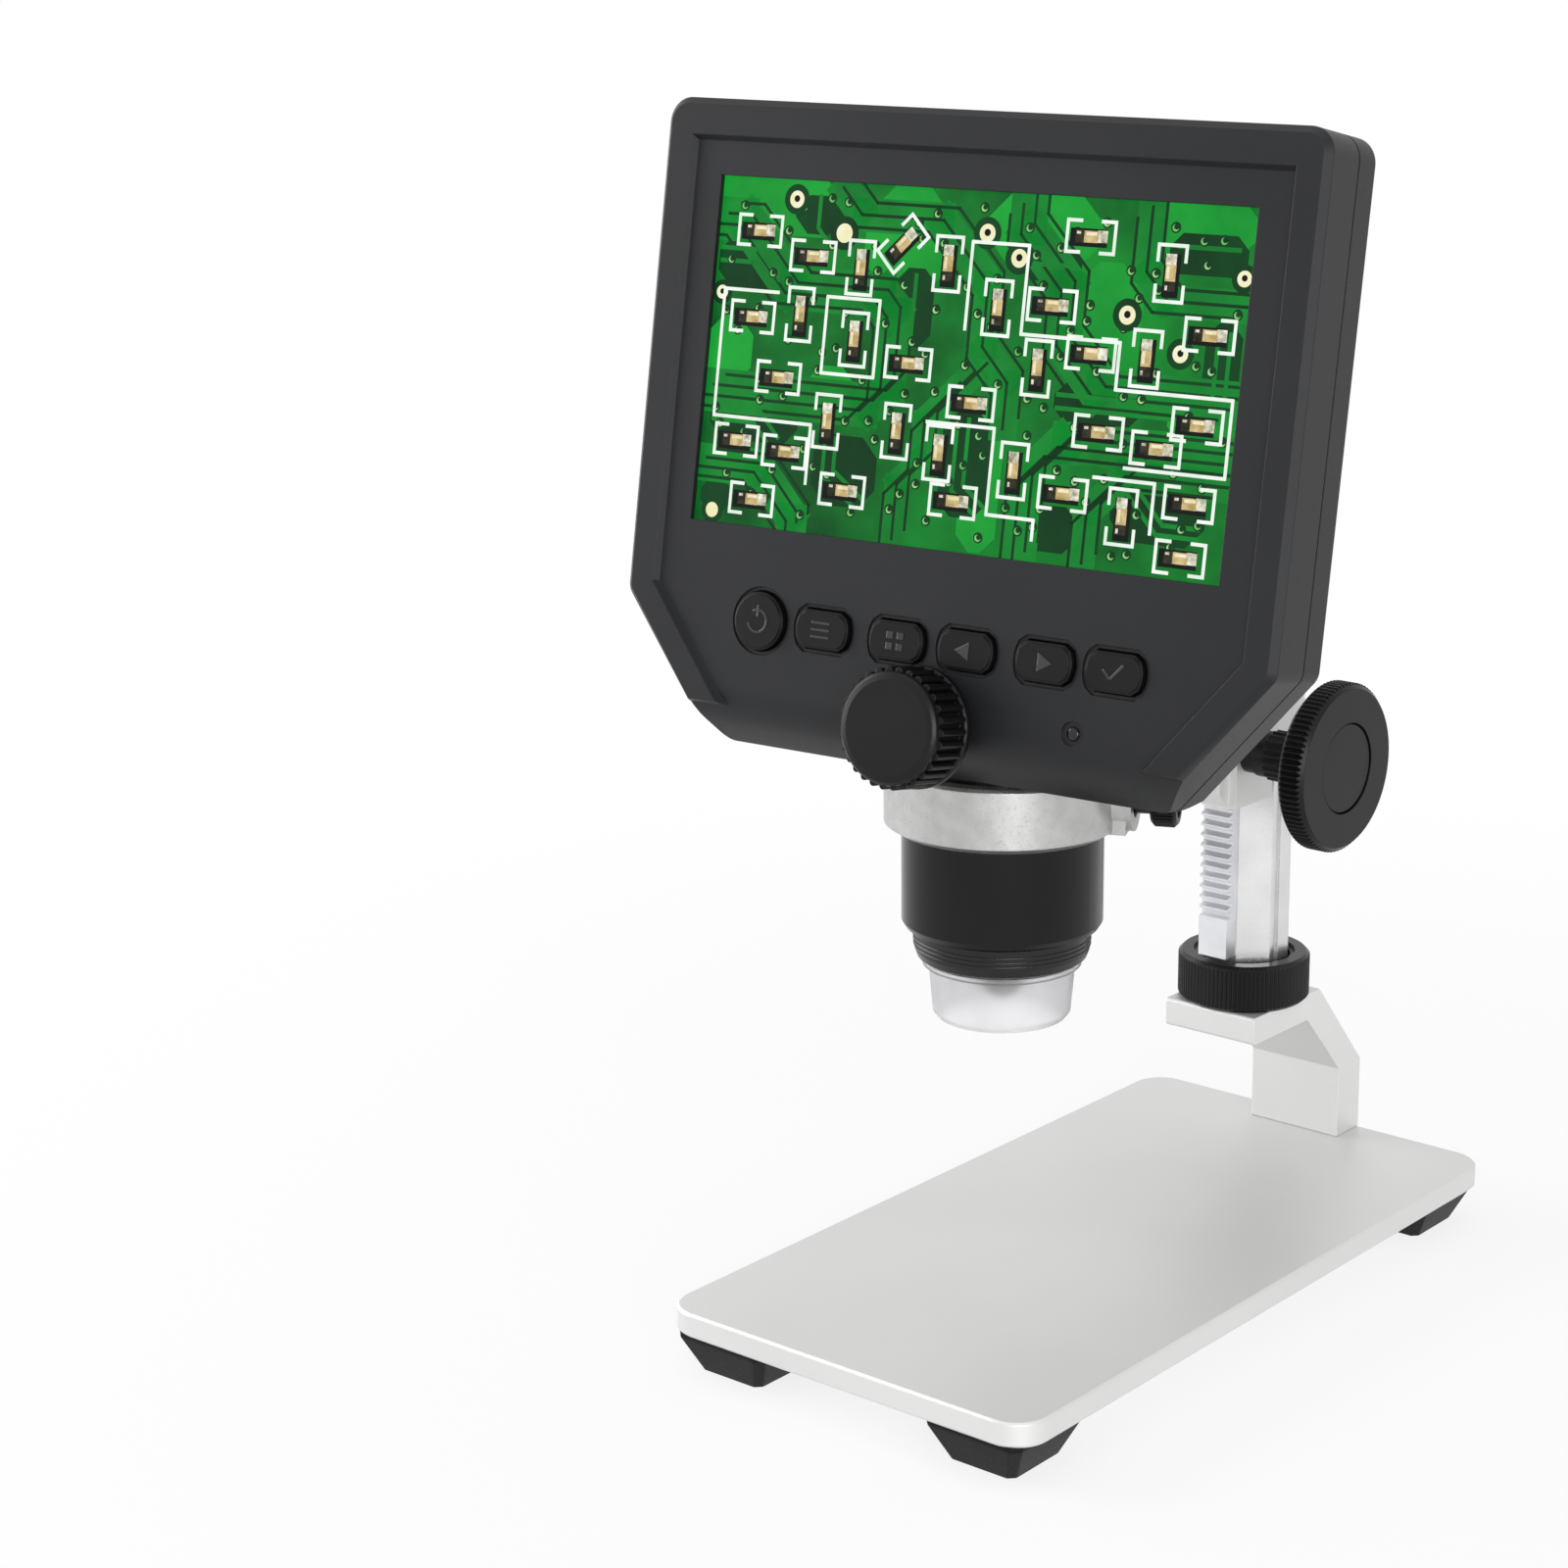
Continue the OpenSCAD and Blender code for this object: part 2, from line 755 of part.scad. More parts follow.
module carriage_block() {
    slot_w = rack_w + 0.6;
    gusset_y = block_y - 10.5;
    color(silver)
        difference() {
            union() {
                // pinion housing with its sloping gusset under the arm
                across(block_w)
                    polygon([[block_y, block_bottom], [column_front + 0.2, block_bottom],
                        [column_front + 0.2, block_top], [block_y, block_top]]);
                across(arm_w)
                    polygon([[block_y + eps, block_bottom], [block_y + eps, block_top],
                        [block_y - arm_joint/2, block_top], [block_y - arm_joint, ring_top + eps],
                        [block_y - arm_joint, ring_bottom],
                        [block_y - arm_joint, block_bottom + arm_joint]]);
                // sleeve round the column
                translate([0, column_y, sleeve_bottom])
                    linear_extrude(block_top - sleeve_bottom)
                        union() {
                            circle(sleeve_r);
                            translate([-sleeve_r, column_front - column_y])
                                square([2*sleeve_r, column_af/2]);
                        }
            }
            translate([0, column_y, block_bottom - 1])
                linear_extrude(block_h + 2)
                    octagon(column_af + 2*slide_fit);
            // way for the rack, and the pinion's chamber
            translate([-slot_w/2, rack_front - 0.3, block_bottom - 1])
                cube([slot_w, rack_out + 1, block_h + 2]);
            translate([0, pinion_y, pinion_z])
                rotate([0, 90, 0]) {
                    cylinder(h = pinion_w + 2*cavity_gap, r = tip_r + cavity_gap,
                        center = true);
                    cylinder(h = block_w + 2, r = bush_r - bush_step, center = true);
                }
            // tapped holes: sleeve tension screws, arm screws
            for (z = [0.3, 0.7])
                translate([0, column_y, sleeve_bottom + (block_top - sleeve_bottom)*z])
                    rotate([-90, 0, 0])
                        cylinder(h = sleeve_r + 2, r = tension_r);
            for (sx = [-1, 1])
                translate([sx*arm_screw_x, block_y - arm_joint - 1, arm_screw_z])
                    rotate([-90, 0, 0])
                        cylinder(h = 1 + arm_joint + arm_screw_in, r = arm_screw_r);
        }
}

module shaft_bushes() {
    color(black)
        for (sx = [-1, 1])
            translate([0, pinion_y, pinion_z])
                rotate([0, sx*90, 0])
                    difference() {
                        union() {
                            translate([0, 0, block_w/2 - bush_l])
                                cylinder(h = bush_l + eps, r = bush_r - bush_step);
                            translate([0, 0, block_w/2])
                                cylinder(h = bush_flange, r = bush_r);
                        }
                        translate([0, 0, block_w/2 - bush_l - 1])
                            cylinder(h = bush_l + bush_flange + 2, r = shaft_r + shaft_fit);
                    }
}

module tension_screws() {
    tip = column_af/2 + slide_fit;
    color(steel)
        for (z = [0.3, 0.7])
            translate([0, column_y + tip, sleeve_bottom + (block_top - sleeve_bottom)*z])
                rotate([-90, 0, 0])
                    difference() {
                        cylinder(h = sleeve_r - tip - 0.3, r = tension_r);
                        translate([0, 0, 0.8])
                            cylinder(h = sleeve_r, r = tension_r*0.5, $fn = 6);
                    }
}

module clamp_axis() {
    translate([0, lens_y, clamp_z])
        rotate([0, 0, clamp_angle])
            rotate([0, 90, 0])
                children();
}

module ring_arm() {
    arm_end = block_y - arm_joint;
    color(silver)
        difference() {
            union() {
                translate([0, lens_y, 0])
                    rotate_extrude()
                        polygon([[0, ring_bottom], [ring_r - ring_bevel_w, ring_bottom],
                            [ring_r, ring_bottom + ring_bevel_h], [ring_r, ring_top - 0.5],
                            [ring_r - 0.5, ring_top], [0, ring_top]]);
                translate([-arm_w/2, lens_y, ring_bottom])
                    cube([arm_w, arm_end - lens_y, ring_h]);
                clamp_axis()
                    translate([0, 0, ring_bore]) {
                        cylinder(h = boss_reach - ring_bore, r = boss_r);
                        translate([-lug_h/2, -lug_w/2, 0])
                            cube([lug_h, lug_w, boss_reach - ring_bore - 0.9]);
                    }
            }
            translate([0, lens_y, ring_bottom - 1])
                cylinder(h = ring_h + 2, r = ring_bore);
            clamp_axis() {
                translate([0, 0, ring_bore - 1])
                    cylinder(h = boss_reach, r = clamp_r + 0.05);
                translate([0, 0, boss_reach - 1.2])
                    cylinder(h = 3, r = clamp_r + 0.7);
            }
            for (sx = [-1, 1])
                translate([sx*arm_screw_x, arm_end + 1, arm_screw_z])
                    rotate([90, 0, 0]) {
                        cylinder(h = arm_seat + 2, r = arm_screw_r);
                        translate([0, 0, arm_seat + 1])
                            cylinder(h = arm_end - lens_y - arm_seat, r = arm_screw_head_r + 0.15);
                    }
        }
}

module arm_screws() {
    color(steel)
        for (sx = [-1, 1])
            translate([sx*arm_screw_x, block_y - arm_joint - arm_seat, arm_screw_z])
                rotate([90, 0, 0])
                    cap_screw(arm_screw_r, arm_seat + arm_joint + arm_screw_in,
                        arm_screw_head_r, 2*arm_screw_r);
}

module clamp_screw() {
    c = 0.6;
    head_at = boss_reach + clamp_gap;
    color(black)
        clamp_axis()
            difference() {
                union() {
                    translate([0, 0, ring_bore])
                        cylinder(h = head_at - ring_bore + eps, r = clamp_r);
                    intersection() {
                        translate([0, 0, head_at])
                            linear_extrude(clamp_head_l)
                                knurl(clamp_head_r - 0.35, clamp_head_r, 36);
                        translate([0, 0, head_at])
                            rotate_extrude()
                                polygon([[0, 0], [clamp_head_r - c, 0], [clamp_head_r, c],
                                    [clamp_head_r, clamp_head_l - c],
                                    [clamp_head_r - c, clamp_head_l], [0, clamp_head_l]]);
                    }
                }
                translate([0, 0, head_at + clamp_head_l - 0.4])
                    cylinder(h = 1, r = clamp_head_r*0.6);
            }
}

// ---- Height drive ----

module pinion_shaft() {
    color(steel)
        translate([0, pinion_y, pinion_z])
            rotate([0, 90, 0]) {
                cylinder(h = 2*(knob_x - 1.5), r = shaft_r, center = true);
                linear_extrude(pinion_w, center = true)
                    rotate([0, 0, 90])
                        gear(pinion_teeth, gear_m);
            }
}

module height_knob() {
    hub_from = block_w/2 + bush_flange + 0.2;
    face = knob_x;
    back = knob_x - knob_t;
    c = 0.9;
    difference() {
        union() {
            intersection() {
                translate([0, 0, back])
                    linear_extrude(knob_t)
                        knurl(knob_r - 0.45, knob_r, knob_teeth);
                rotate_extrude()
                    polygon([[0, back], [knob_r - c, back], [knob_r, back + c],
                        [knob_r, face - c], [knob_r - c, face], [0, face]]);
            }
            translate([0, 0, hub_from])
                cylinder(h = hub_plain + eps, r = hub_r);
            translate([0, 0, hub_from + hub_plain])
                linear_extrude(back - hub_from - hub_plain + eps)
                    knurl(hub_r, hub_r + 0.4, hub_ribs);
        }
        translate([0, 0, hub_from - 1])
            cylinder(h = face - 1.5 - hub_from + 1, r = shaft_r);
        translate([0, 0, face - 1])
            cylinder(h = 2, r = knob_disc_r);
        // shallow dish in the back, round the hub
        difference() {
            translate([0, 0, back - 1])
                cylinder(h = 2, r = knob_r - 2.2);
            translate([0, 0, back - 2])
                cylinder(h = 4, r = hub_r + 1.2);
        }
    }
}

module height_knob_right() {
    color(black)
        translate([0, pinion_y, pinion_z])
            rotate([0, 90, 0])
                height_knob();
}

module height_knob_left() {
    color(black)
        translate([0, pinion_y, pinion_z])
            rotate([0, -90, 0])
                height_knob();
}

module knob_discs() {
    color(charcoal)
        for (sx = [-1, 1])
            translate([0, pinion_y, pinion_z])
                rotate([0, sx*90, 0])
                    translate([0, 0, knob_x - 1])
                        rotate_extrude()
                            polygon([[0, 0], [knob_disc_r, 0], [knob_disc_r, 0.5],
                                [knob_disc_r - 0.4, 0.8], [0, 0.8]]);
}

// ---- Display head ----

// Outer profile of the head seen from its side, in (n, v)
module side_outer() {
    polygon([[rim_n, head_top], [rim_n, crease_v], [-5, chin_v], [-9, chin_v + 0.4],
        [-12.5, chin_v + 1.8], [-14.5, chin_v + 3.8], [back_n, chin_v + 6],
        [back_n, head_top]]);
}

module side_inner() {
    w = shell_wall;
    polygon([[panel_back, head_top - w], [panel_back, crease_v + 0.4],
        [-5 - w*0.4, chin_v + w], [-9, chin_v + w + 0.4], [-12, chin_v + w + 1.8],
        [back_in, chin_v + w + 4.5], [back_in, head_top - w]]);
}

module head_cavity() {
    intersection() {
        slab(back_in, panel_back)
            head_outline(shell_wall);
        head_side(4*head_hw)
            side_inner();
    }
}

module hump(r, z0, z1, top) {
    in_lens()
        rotate_extrude()
            polygon([[0, z0], [r, z0], [r, z1], [r - 2, z1 + 5], [r - 7, z1 + top],
                [0, z1 + top]]);
}

module socket_ways() {
    in_head() {
        slab(-8.9, -5.5)
            translate([-head_hw, usb_v])
                boxed(8, 8.4);
        slab(-7.9, -5.5)
            translate([-head_hw, card_v])
                boxed(8, 13.2);
    }
}

module key_shape(i, grow) {
    if (i == 0)
        circle(power_r + grow);
    else {
        r = key_r + grow;
        v = key_h/2 + grow;
        u = sqrt(r*r - v*v) - key_corner;
        tip = u + v/key_slope;
        intersection() {
            circle(r);
            polygon([[u, v], [-u, v], [-tip, 0], [-u, -v], [u, -v], [tip, 0]]);
        }
    }
}

function key_at(i) = [[-1, -1, -1, 1, 1, 1][i]*key_u[[2, 1, 0, 0, 1, 2][i]], key_v];

module front_shell() {
    color(charcoal)
        difference() {
            union() {
                in_head()
                    difference() {
                        intersection() {
                            union() {
                                slab(part_n, rim_n - rim_edge)
                                    head_outline(0);
                                hull() {
                                    slab(rim_n - rim_edge - eps, rim_n - rim_edge)
                                        head_outline(0, $fn = 32);
                                    slab(rim_n - eps, rim_n)
                                        head_outline(rim_edge, $fn = 32);
                                }
                            }
                            head_side(4*head_hw)
                                side_outer();
                        }
                        // recessed panel inside the rim
                        intersection() {
                            slab(panel_n, rim_n + 1)
                                head_outline(rim_w);
                            slab(panel_n - 1, rim_n + 2)
                                translate([0, panel_top - 2*head_hw])
                                    boxed(4*head_hw, 4*head_hw);
                        }
                        difference() {
                            head_cavity();
                            slab(back_n, panel_n)
                                for (s = head_screws)
                                    translate(s)
                                        circle(head_boss_r);
                            slab(panel_back - 4, panel_n)
                                translate([0, focus_v])
                                    circle(3.5);
                        }
                        slab(part_n - 20, part_n)
                            boxed(4*head_hw, 4*head_hw);
                        // seat of the display, its window, keys, lamp, focus shaft
                        slab(panel_back - 1, 0)
                            boxed(module_w + 0.4, module_h + 0.4);
                        slab(-1, rim_n + 1)
                            boxed(screen_w + window_gap, screen_h + window_gap);
                        for (i = [0:5])
                            translate([key_at(i)[0], 0, key_at(i)[1]]) {
                                slab(panel_back - 1, rim_n)
                                    key_shape(i, key_fit);
                                slab(panel_n - 0.4, rim_n)
                                    key_shape(i, key_fit + 0.55);
                            }
                        translate([status_u, 0, status_v])
                            union() {
                                slab(panel_back - 1, rim_n)
                                    circle(status_r);
                                slab(panel_n - status_deep, rim_n)
                                    circle(status_r + status_seat);
                            }
                        translate([0, 0, focus_v])
                            slab(panel_back - 5, rim_n)
                                circle(focus_shaft_r + 0.05);
                        for (s = head_screws)
                            translate([s[0], 0, s[1]])
                                slab(part_n - 1, head_screw_tip)
                                    circle(head_screw_r);
                    }
            }
            in_lens()
                translate([0, 0, 0])
                    cylinder(h = barrel_top + 1, r = barrel_r + 0.15);
            socket_ways();
        }
}

module rear_shell() {
    hump_in = hump_r - shell_wall;
    color(charcoal)
        difference() {
            union() {
                in_head()
                    intersection() {
                        union() {
                            slab(back_n + 2.6, part_n)
                                head_outline(0);
                            hull() {
                                slab(back_n + 2.6 - eps, back_n + 2.6)
                                    head_outline(0, $fn = 32);
                                slab(back_n, back_n + eps)
                                    head_outline(3, $fn = 32);
                            }
                        }
                        head_side(4*head_hw)
                            side_outer();
                    }
                hump(hump_r, ring_top + 2.9, hump_z, 10);
            }
            in_head()
                difference() {
                    head_cavity();
                    slab(back_n, part_n)
                        for (s = head_screws)
                            translate(s)
                                circle(head_boss_r);
                }
            in_head()
                slab(part_n, part_n + 40)
                    boxed(4*head_hw, 4*head_hw);
            hump(hump_in, ring_top + 2.9 + shell_wall, hump_z - shell_wall, 10);
            in_lens()
                cylinder(h = hump_z - 10, r = barrel_r);
            in_head()
                for (s = head_screws)
                    translate([s[0], 0, s[1]]) {
                        slab(back_n - 1, part_n + 1)
                            circle(head_screw_r + 0.1);
                        slab(back_n - 1, back_n + head_screw_head_h + 0.5)
                            circle(head_screw_head_r + 0.15);
                    }
            socket_ways();
            // cooling slots across the upper back
            in_head()
                for (i = [-3:3])
                    translate([i*7, 0, head_top - 12])
                        slab(back_n - 1, back_in + 1)
                            boxed(2, 9);
        }
}

module shell_screws() {
    color(steel)
        in_head()
            for (s = head_screws)
                translate([s[0], -(back_n + head_screw_head_h + 0.5), s[1]])
                    rotate([-90, 0, 0])
                        pan_screw(head_screw_r,
                            head_screw_tip - back_n - head_screw_head_h - 0.5 - 0.4,
                            head_screw_head_r, head_screw_head_h);
}

module display_module() {
    color([0.12, 0.12, 0.13])
        in_head()
            difference() {
                slab(-module_t, -0.05)
                    boxed(module_w, module_h);
                slab(-glass_t, 1)
                    boxed(glass_w, glass_h);
            }
}

module display_glass() {
    color([0.08, 0.35, 0.30])
        in_head()
            slab(-glass_t, -0.05)
                boxed(glass_w, glass_h);
}

module key(i) {
    in_head()
        translate([key_at(i)[0], 0, key_at(i)[1]]) {
            slab(panel_back - 0.3, panel_n + key_out - 0.3)
                key_shape(i, 0);
            slab(panel_n, panel_n + key_out)
                key_shape(i, -0.35);
            slab(panel_back - 0.3 - key_flange, panel_back - 0.3)
                key_shape(i, key_fit + 0.6);
            slab(key_foot, panel_back - 0.3)
                circle(1.5);
        }
}

module power_key() {
    color(black)
        key(0);
}

module menu_key() {
    color(black)
        key(1);
}

module mode_key() {
    color(black)
        key(2);
}

module left_key() {
    color(black)
        key(3);
}

module right_key() {
    color(black)
        key(4);
}

module ok_key() {
    color(black)
        key(5);
}

module key_board() {
    color(pcb)
        in_head() {
            translate([0, 0, key_v + 0.4])
                slab(key_board_n - key_board_t, key_board_n)
                    boxed(2*(key_u[2] + power_r + board_edge), 2*(power_r + board_edge));
            for (i = [0:5])
                translate([key_at(i)[0], 0, key_at(i)[1]])
                    slab(key_board_n - eps, key_board_n + switch_h)
                        boxed(4, 4);
        }
}

module main_board() {
    color(pcb)
        in_head()
            translate([0, 0, 1.5]) {
                slab(main_n - main_t, main_n)
                    boxed(2*head_hw - 13, module_h - 3);
                slab(main_n - main_t - 1.4, main_n - main_t + eps)
                    union() {
                        translate([18, 8])
                            boxed(14, 14);
                        translate([-6, -10])
                            boxed(10, 8);
                        translate([34, -14])
                            boxed(8, 12);
                    }
            }
}

module battery() {
    color([0.75, 0.76, 0.78])
        in_head()
            translate([-4, 0, 14])
                slab(back_in + battery_gap, back_in + battery_gap + battery_t)
                    rounded([[-battery_w/2, -battery_h/2], [battery_w/2, -battery_h/2],
                        [battery_w/2, battery_h/2], [-battery_w/2, battery_h/2]],
                        [2, 2, 2, 2]);
}

module power_socket() {
    color(steel)
        in_head()
            difference() {
                slab(-8.6, main_n - main_t)
                    translate([-head_hw + 3.6, usb_v])
                        boxed(5.6, 7.6);
                slab(-8.1, -6.3)
                    translate([-head_hw, usb_v])
                        boxed(9, 6.6);
            }
}

module card_socket() {
    color(steel)
        in_head()
            difference() {
                slab(-7.6, main_n - main_t)
                    translate([-head_hw + 8.4, card_v])
                        boxed(15.2, 12.6);
                slab(-7.2, -6.2)
                    translate([-head_hw, card_v])
                        boxed(26, 11.2);
            }
}

module status_lens() {
    color([0.75, 0.78, 0.85])
        in_head()
            translate([status_u, 0, status_v]) {
                slab(panel_back - 0.8, panel_n - 0.3)
                    circle(status_r);
                slab(panel_back - 0.8, panel_back)
                    circle(status_r + 0.7);
            }
}

// ---- Focus drive ----

module focus_knob() {
    face = focus_r - 0.75;
    core = focus_r - 1.15;
    rim = 1.5;
    rib = 0.62;
    rib_ring = focus_r - 0.12 - rib;
    rib_end = focus_l - 1.35;
    color(black)
        in_head()
            translate([0, -focus_back, focus_v])
                rotate([90, 0, 0])
                    difference() {
                        union() {
                            rotate_extrude()
                                polygon([[0, 0], [face - 2.4, 0], [face - 2.4, 1],
                                    [focus_r - 0.4, 1], [focus_r, 1.4], [focus_r, rim + 0.8],
                                    [focus_r - 0.3, rim + 1.1], [core, rim + 1.1],
                                    [core, focus_l - 2.4], [face - 0.1, focus_l - 1.7],
                                    [face, focus_l - 1.1], [face - 0.15, focus_l - 0.6],
                                    [face - 0.6, focus_l - 0.2], [face - 1.4, focus_l],
                                    [0, focus_l]]);
                            for (i = [0:focus_ribs - 1])
                                rotate([0, 0, 360/focus_ribs*(i + 0.25)])
                                    translate([rib_ring, 0, rim + 0.4])
                                        cylinder(h = rib_end - rim - 0.4, r = rib, $fn = 24);
                        }
                        translate([0, 0, -1])
                            cylinder(h = focus_l - 1.5, r = focus_shaft_r);
                    }
}

module focus_shaft() {
    color(steel)
        in_head()
            translate([0, 0, focus_v]) {
                slab(focus_n - focus_gear_w/2 - 0.8, focus_back + focus_l - 2.5)
                    circle(focus_shaft_r);
                slab(focus_n - focus_gear_w/2, focus_n + focus_gear_w/2)
                    gear(focus_teeth, focus_m);
            }
}

module barrel() {
    color(black)
        difference() {
            in_lens()
                rotate_extrude()
                    polygon([[barrel_lip, barrel_z], [barrel_r - 1.8, barrel_z],
                        [barrel_r - 0.5, barrel_z + 0.4], [barrel_r, barrel_z + 1.3],
                        [barrel_r, barrel_top],
                        [barrel_in, barrel_top], [barrel_in, spigot_top],
                        [barrel_lip, spigot_top]]);
            // way for the focus shaft
            in_head()
                translate([0, 0, focus_v])
                    slab(focus_n, 0)
                        circle(focus_shaft_r + 0.3);
        }
}

module light_housing() {
    color(black)
        in_lens()
            rotate_extrude()
                polygon([[collar_in, step_bottom], [step_r - 1.7, step_bottom],
                    [step_r - 0.6, step_bottom + 0.7], [step_r - 0.2, step_bottom + 1.8],
                    [step_r, step_top], [barrel_lip, step_top], [barrel_lip, spigot_top],
                    [collar_in + 0.5, spigot_top], [collar_in + 0.5, lamp_board_z],
                    [collar_in, lamp_board_z]]);
}

module lamp_board() {
    color([0.93, 0.93, 0.92])
        in_lens()
            translate([0, 0, lamp_board_z])
                difference() {
                    cylinder(h = lamp_board_t, r = collar_in + 0.5);
                    translate([0, 0, -1])
                        cylinder(h = 4, r = nozzle_r + nozzle_gap);
                }
}

module lamps() {
    color([0.95, 0.93, 0.80])
        in_lens()
            for (i = [0:lamp_count - 1])
                rotate([0, 0, (i + 0.5)*360/lamp_count])
                    translate([lamp_ring_r, 0, lamp_board_z])
                        rotate_extrude($fn = 32)
                            polygon([[0, -1.7], [lamp_r*0.55, -1.5], [lamp_r*0.9, -1],
                                [lamp_r, -0.5], [lamp_r, 0], [0, 0]]);
}

module reflector() {
    color([0.85, 0.86, 0.88])
        in_lens()
            rotate_extrude()
                polygon([[collar_in - 1.3, lamp_board_z], [collar_in - 0.6, lamp_board_z - 2.2],
                    [collar_in, lamp_board_z - 2.2], [collar_in, lamp_board_z]]);
}

module lens_tube() {
    bore = nozzle_r - 1.9;
    tip = step_bottom - nozzle_out;
    color([0.14, 0.14, 0.15])
        union() {
            in_lens()
                difference() {
                    rotate_extrude()
                        polygon([[nozzle_tip - 0.9, tip], [nozzle_tip - 0.2, tip], [nozzle_tip, tip + 0.2],
                            [nozzle_r, tip + nozzle_r - nozzle_tip + 0.2], [nozzle_r, tube_bottom],
                            [tube_r, tube_bottom], [tube_r, tube_top], [bore, tube_top],
                            [bore, step_bottom + 0.4], [nozzle_tip - 0.9, tip + 0.8]]);
                    for (k = [1:3])
                        translate([0, 0, tip + 0.2 + k*0.85])
                            rotate_extrude()
                                translate([nozzle_tip + k*0.85, 0])
                                    circle(0.12, $fn = 8);
                }
            // arm that carries the focus rack beside the small gear
            in_lens()
                translate([-focus_pitch_r - 2.6, -focus_fwd - 1.4, focus_z - 8])
                    cube([2, focus_fwd + 1.4 - tube_r + 2.6, tube_top - focus_z + 8]);
            intersection() {
                in_lens()
                    translate([-focus_pitch_r - 2.6, -focus_fwd - 1.4, focus_z - 8])
                        cube([4, 2.9, 11]);
                in_head()
                    translate([-focus_pitch_r, 0, focus_v])
                        slab(focus_n - 5, focus_n + 5)
                            union() {
                                translate([-3, -12])
                                    square([3 - 1.25*focus_m, 20]);
                                mirror([1, 0])
                                    for (i = [-5:3])
                                        translate([0, (i + 0.5)*PI*focus_m])
                                            rack_tooth(focus_m);
                            }
            }
        }
}

module objective() {
    color([0.55, 0.65, 0.80])
        in_lens()
            translate([0, 0, step_bottom + 0.4])
                intersection() {
                    cylinder(h = 1.6, r = nozzle_r - 1.9);
                    translate([0, 0, 9])
                        sphere(r = 9);
                }
}

module sensor_board() {
    color(pcb)
        in_lens()
            difference() {
                union() {
                    translate([0, 0, sensor_z])
                        cylinder(h = 1.2, r = barrel_in);
                    translate([-4, -4, sensor_z - 1])
                        cube([8, 8, 1 + eps]);
                }
                translate([-7, -barrel_in - 1, sensor_z - 1])
                    cube([14, barrel_in - 5.5, 4]);
            }
}

module clear_cap() {
    r = cap_r;
    w = cap_wall;
    z = step_bottom;
    color([0.92, 0.93, 0.96])
        in_lens()
            rotate_extrude()
                polygon([[r - w, z + cap_collar_h], [collar_in - cap_fit, z + cap_collar_h],
                    [collar_in - cap_fit, z], [r + 1.4, z], [r + 1.4, z - cap_flange_t],
                    [r + 0.4, z - cap_flange_t], [r - 0.3, cap_bottom + 0.9],
                    [r - 0.9, cap_bottom + 0.1], [r - 1.5, cap_bottom], [r - w - 0.7, cap_bottom],
                    [r - w - 0.4, cap_bottom + 1]]);
}

base_plate();
base_feet();
foot_screws();
bracket();
bracket_screws();
column();
column_screw();
rack();
rack_screws();
column_cap();
knurled_collar();
carriage_block();
shaft_bushes();
tension_screws();
ring_arm();
arm_screws();
pinion_shaft();
height_knob_right();
height_knob_left();
knob_discs();
clamp_screw();
front_shell();
rear_shell();
shell_screws();
display_module();
display_glass();
power_key();
menu_key();
mode_key();
left_key();
right_key();
ok_key();
key_board();
main_board();
battery();
power_socket();
card_socket();
status_lens();
focus_knob();
focus_shaft();
barrel();
light_housing();
lamp_board();
lamps();
reflector();
lens_tube();
objective();
sensor_board();
clear_cap();
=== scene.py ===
"""Looks of a desktop digital microscope: sand-blasted and satin aluminium, moulded
ABS shells, a lit display with a circuit-board picture, and a frosted clear cap."""

import json
import math

import bpy
from mathutils import Matrix, Vector

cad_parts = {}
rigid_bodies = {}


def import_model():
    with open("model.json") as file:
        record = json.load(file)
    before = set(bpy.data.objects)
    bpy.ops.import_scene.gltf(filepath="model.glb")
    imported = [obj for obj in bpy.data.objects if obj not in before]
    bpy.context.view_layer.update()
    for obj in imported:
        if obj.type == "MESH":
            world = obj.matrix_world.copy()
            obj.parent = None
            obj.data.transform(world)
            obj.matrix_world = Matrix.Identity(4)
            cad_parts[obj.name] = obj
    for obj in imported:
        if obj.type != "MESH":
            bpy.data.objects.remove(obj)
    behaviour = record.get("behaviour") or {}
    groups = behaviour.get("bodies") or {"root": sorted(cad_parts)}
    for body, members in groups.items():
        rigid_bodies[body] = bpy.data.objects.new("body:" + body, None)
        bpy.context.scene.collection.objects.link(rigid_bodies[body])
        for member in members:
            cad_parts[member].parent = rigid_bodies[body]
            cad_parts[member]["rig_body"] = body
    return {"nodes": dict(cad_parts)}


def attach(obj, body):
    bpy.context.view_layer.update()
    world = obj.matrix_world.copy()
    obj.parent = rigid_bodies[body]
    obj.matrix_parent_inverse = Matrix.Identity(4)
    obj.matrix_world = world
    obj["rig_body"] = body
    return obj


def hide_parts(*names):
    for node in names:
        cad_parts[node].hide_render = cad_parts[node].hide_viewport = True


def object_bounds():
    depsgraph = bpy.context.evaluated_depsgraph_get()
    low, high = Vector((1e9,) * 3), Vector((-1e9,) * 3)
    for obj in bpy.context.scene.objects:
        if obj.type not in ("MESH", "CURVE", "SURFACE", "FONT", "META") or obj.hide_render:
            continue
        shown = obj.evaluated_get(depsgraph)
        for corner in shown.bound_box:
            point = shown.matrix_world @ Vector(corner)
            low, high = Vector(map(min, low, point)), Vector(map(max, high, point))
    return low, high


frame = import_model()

cad_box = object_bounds()
bpy.ops.object.select_all(action="DESELECT")

MM = 0.001

# ---------------------------------------------------------------- the head's place
LENS_Y = -27.8  # the barrel's upright axis; all five values are the CAD model's own
HEAD_YAW = math.radians(5.3)
HEAD_TILT = math.radians(10.1)
HEAD_FORWARD = 12.4  # the display's middle lies this far in front of that axis
HEAD_HEIGHT = 152.5  # and this far above the stage

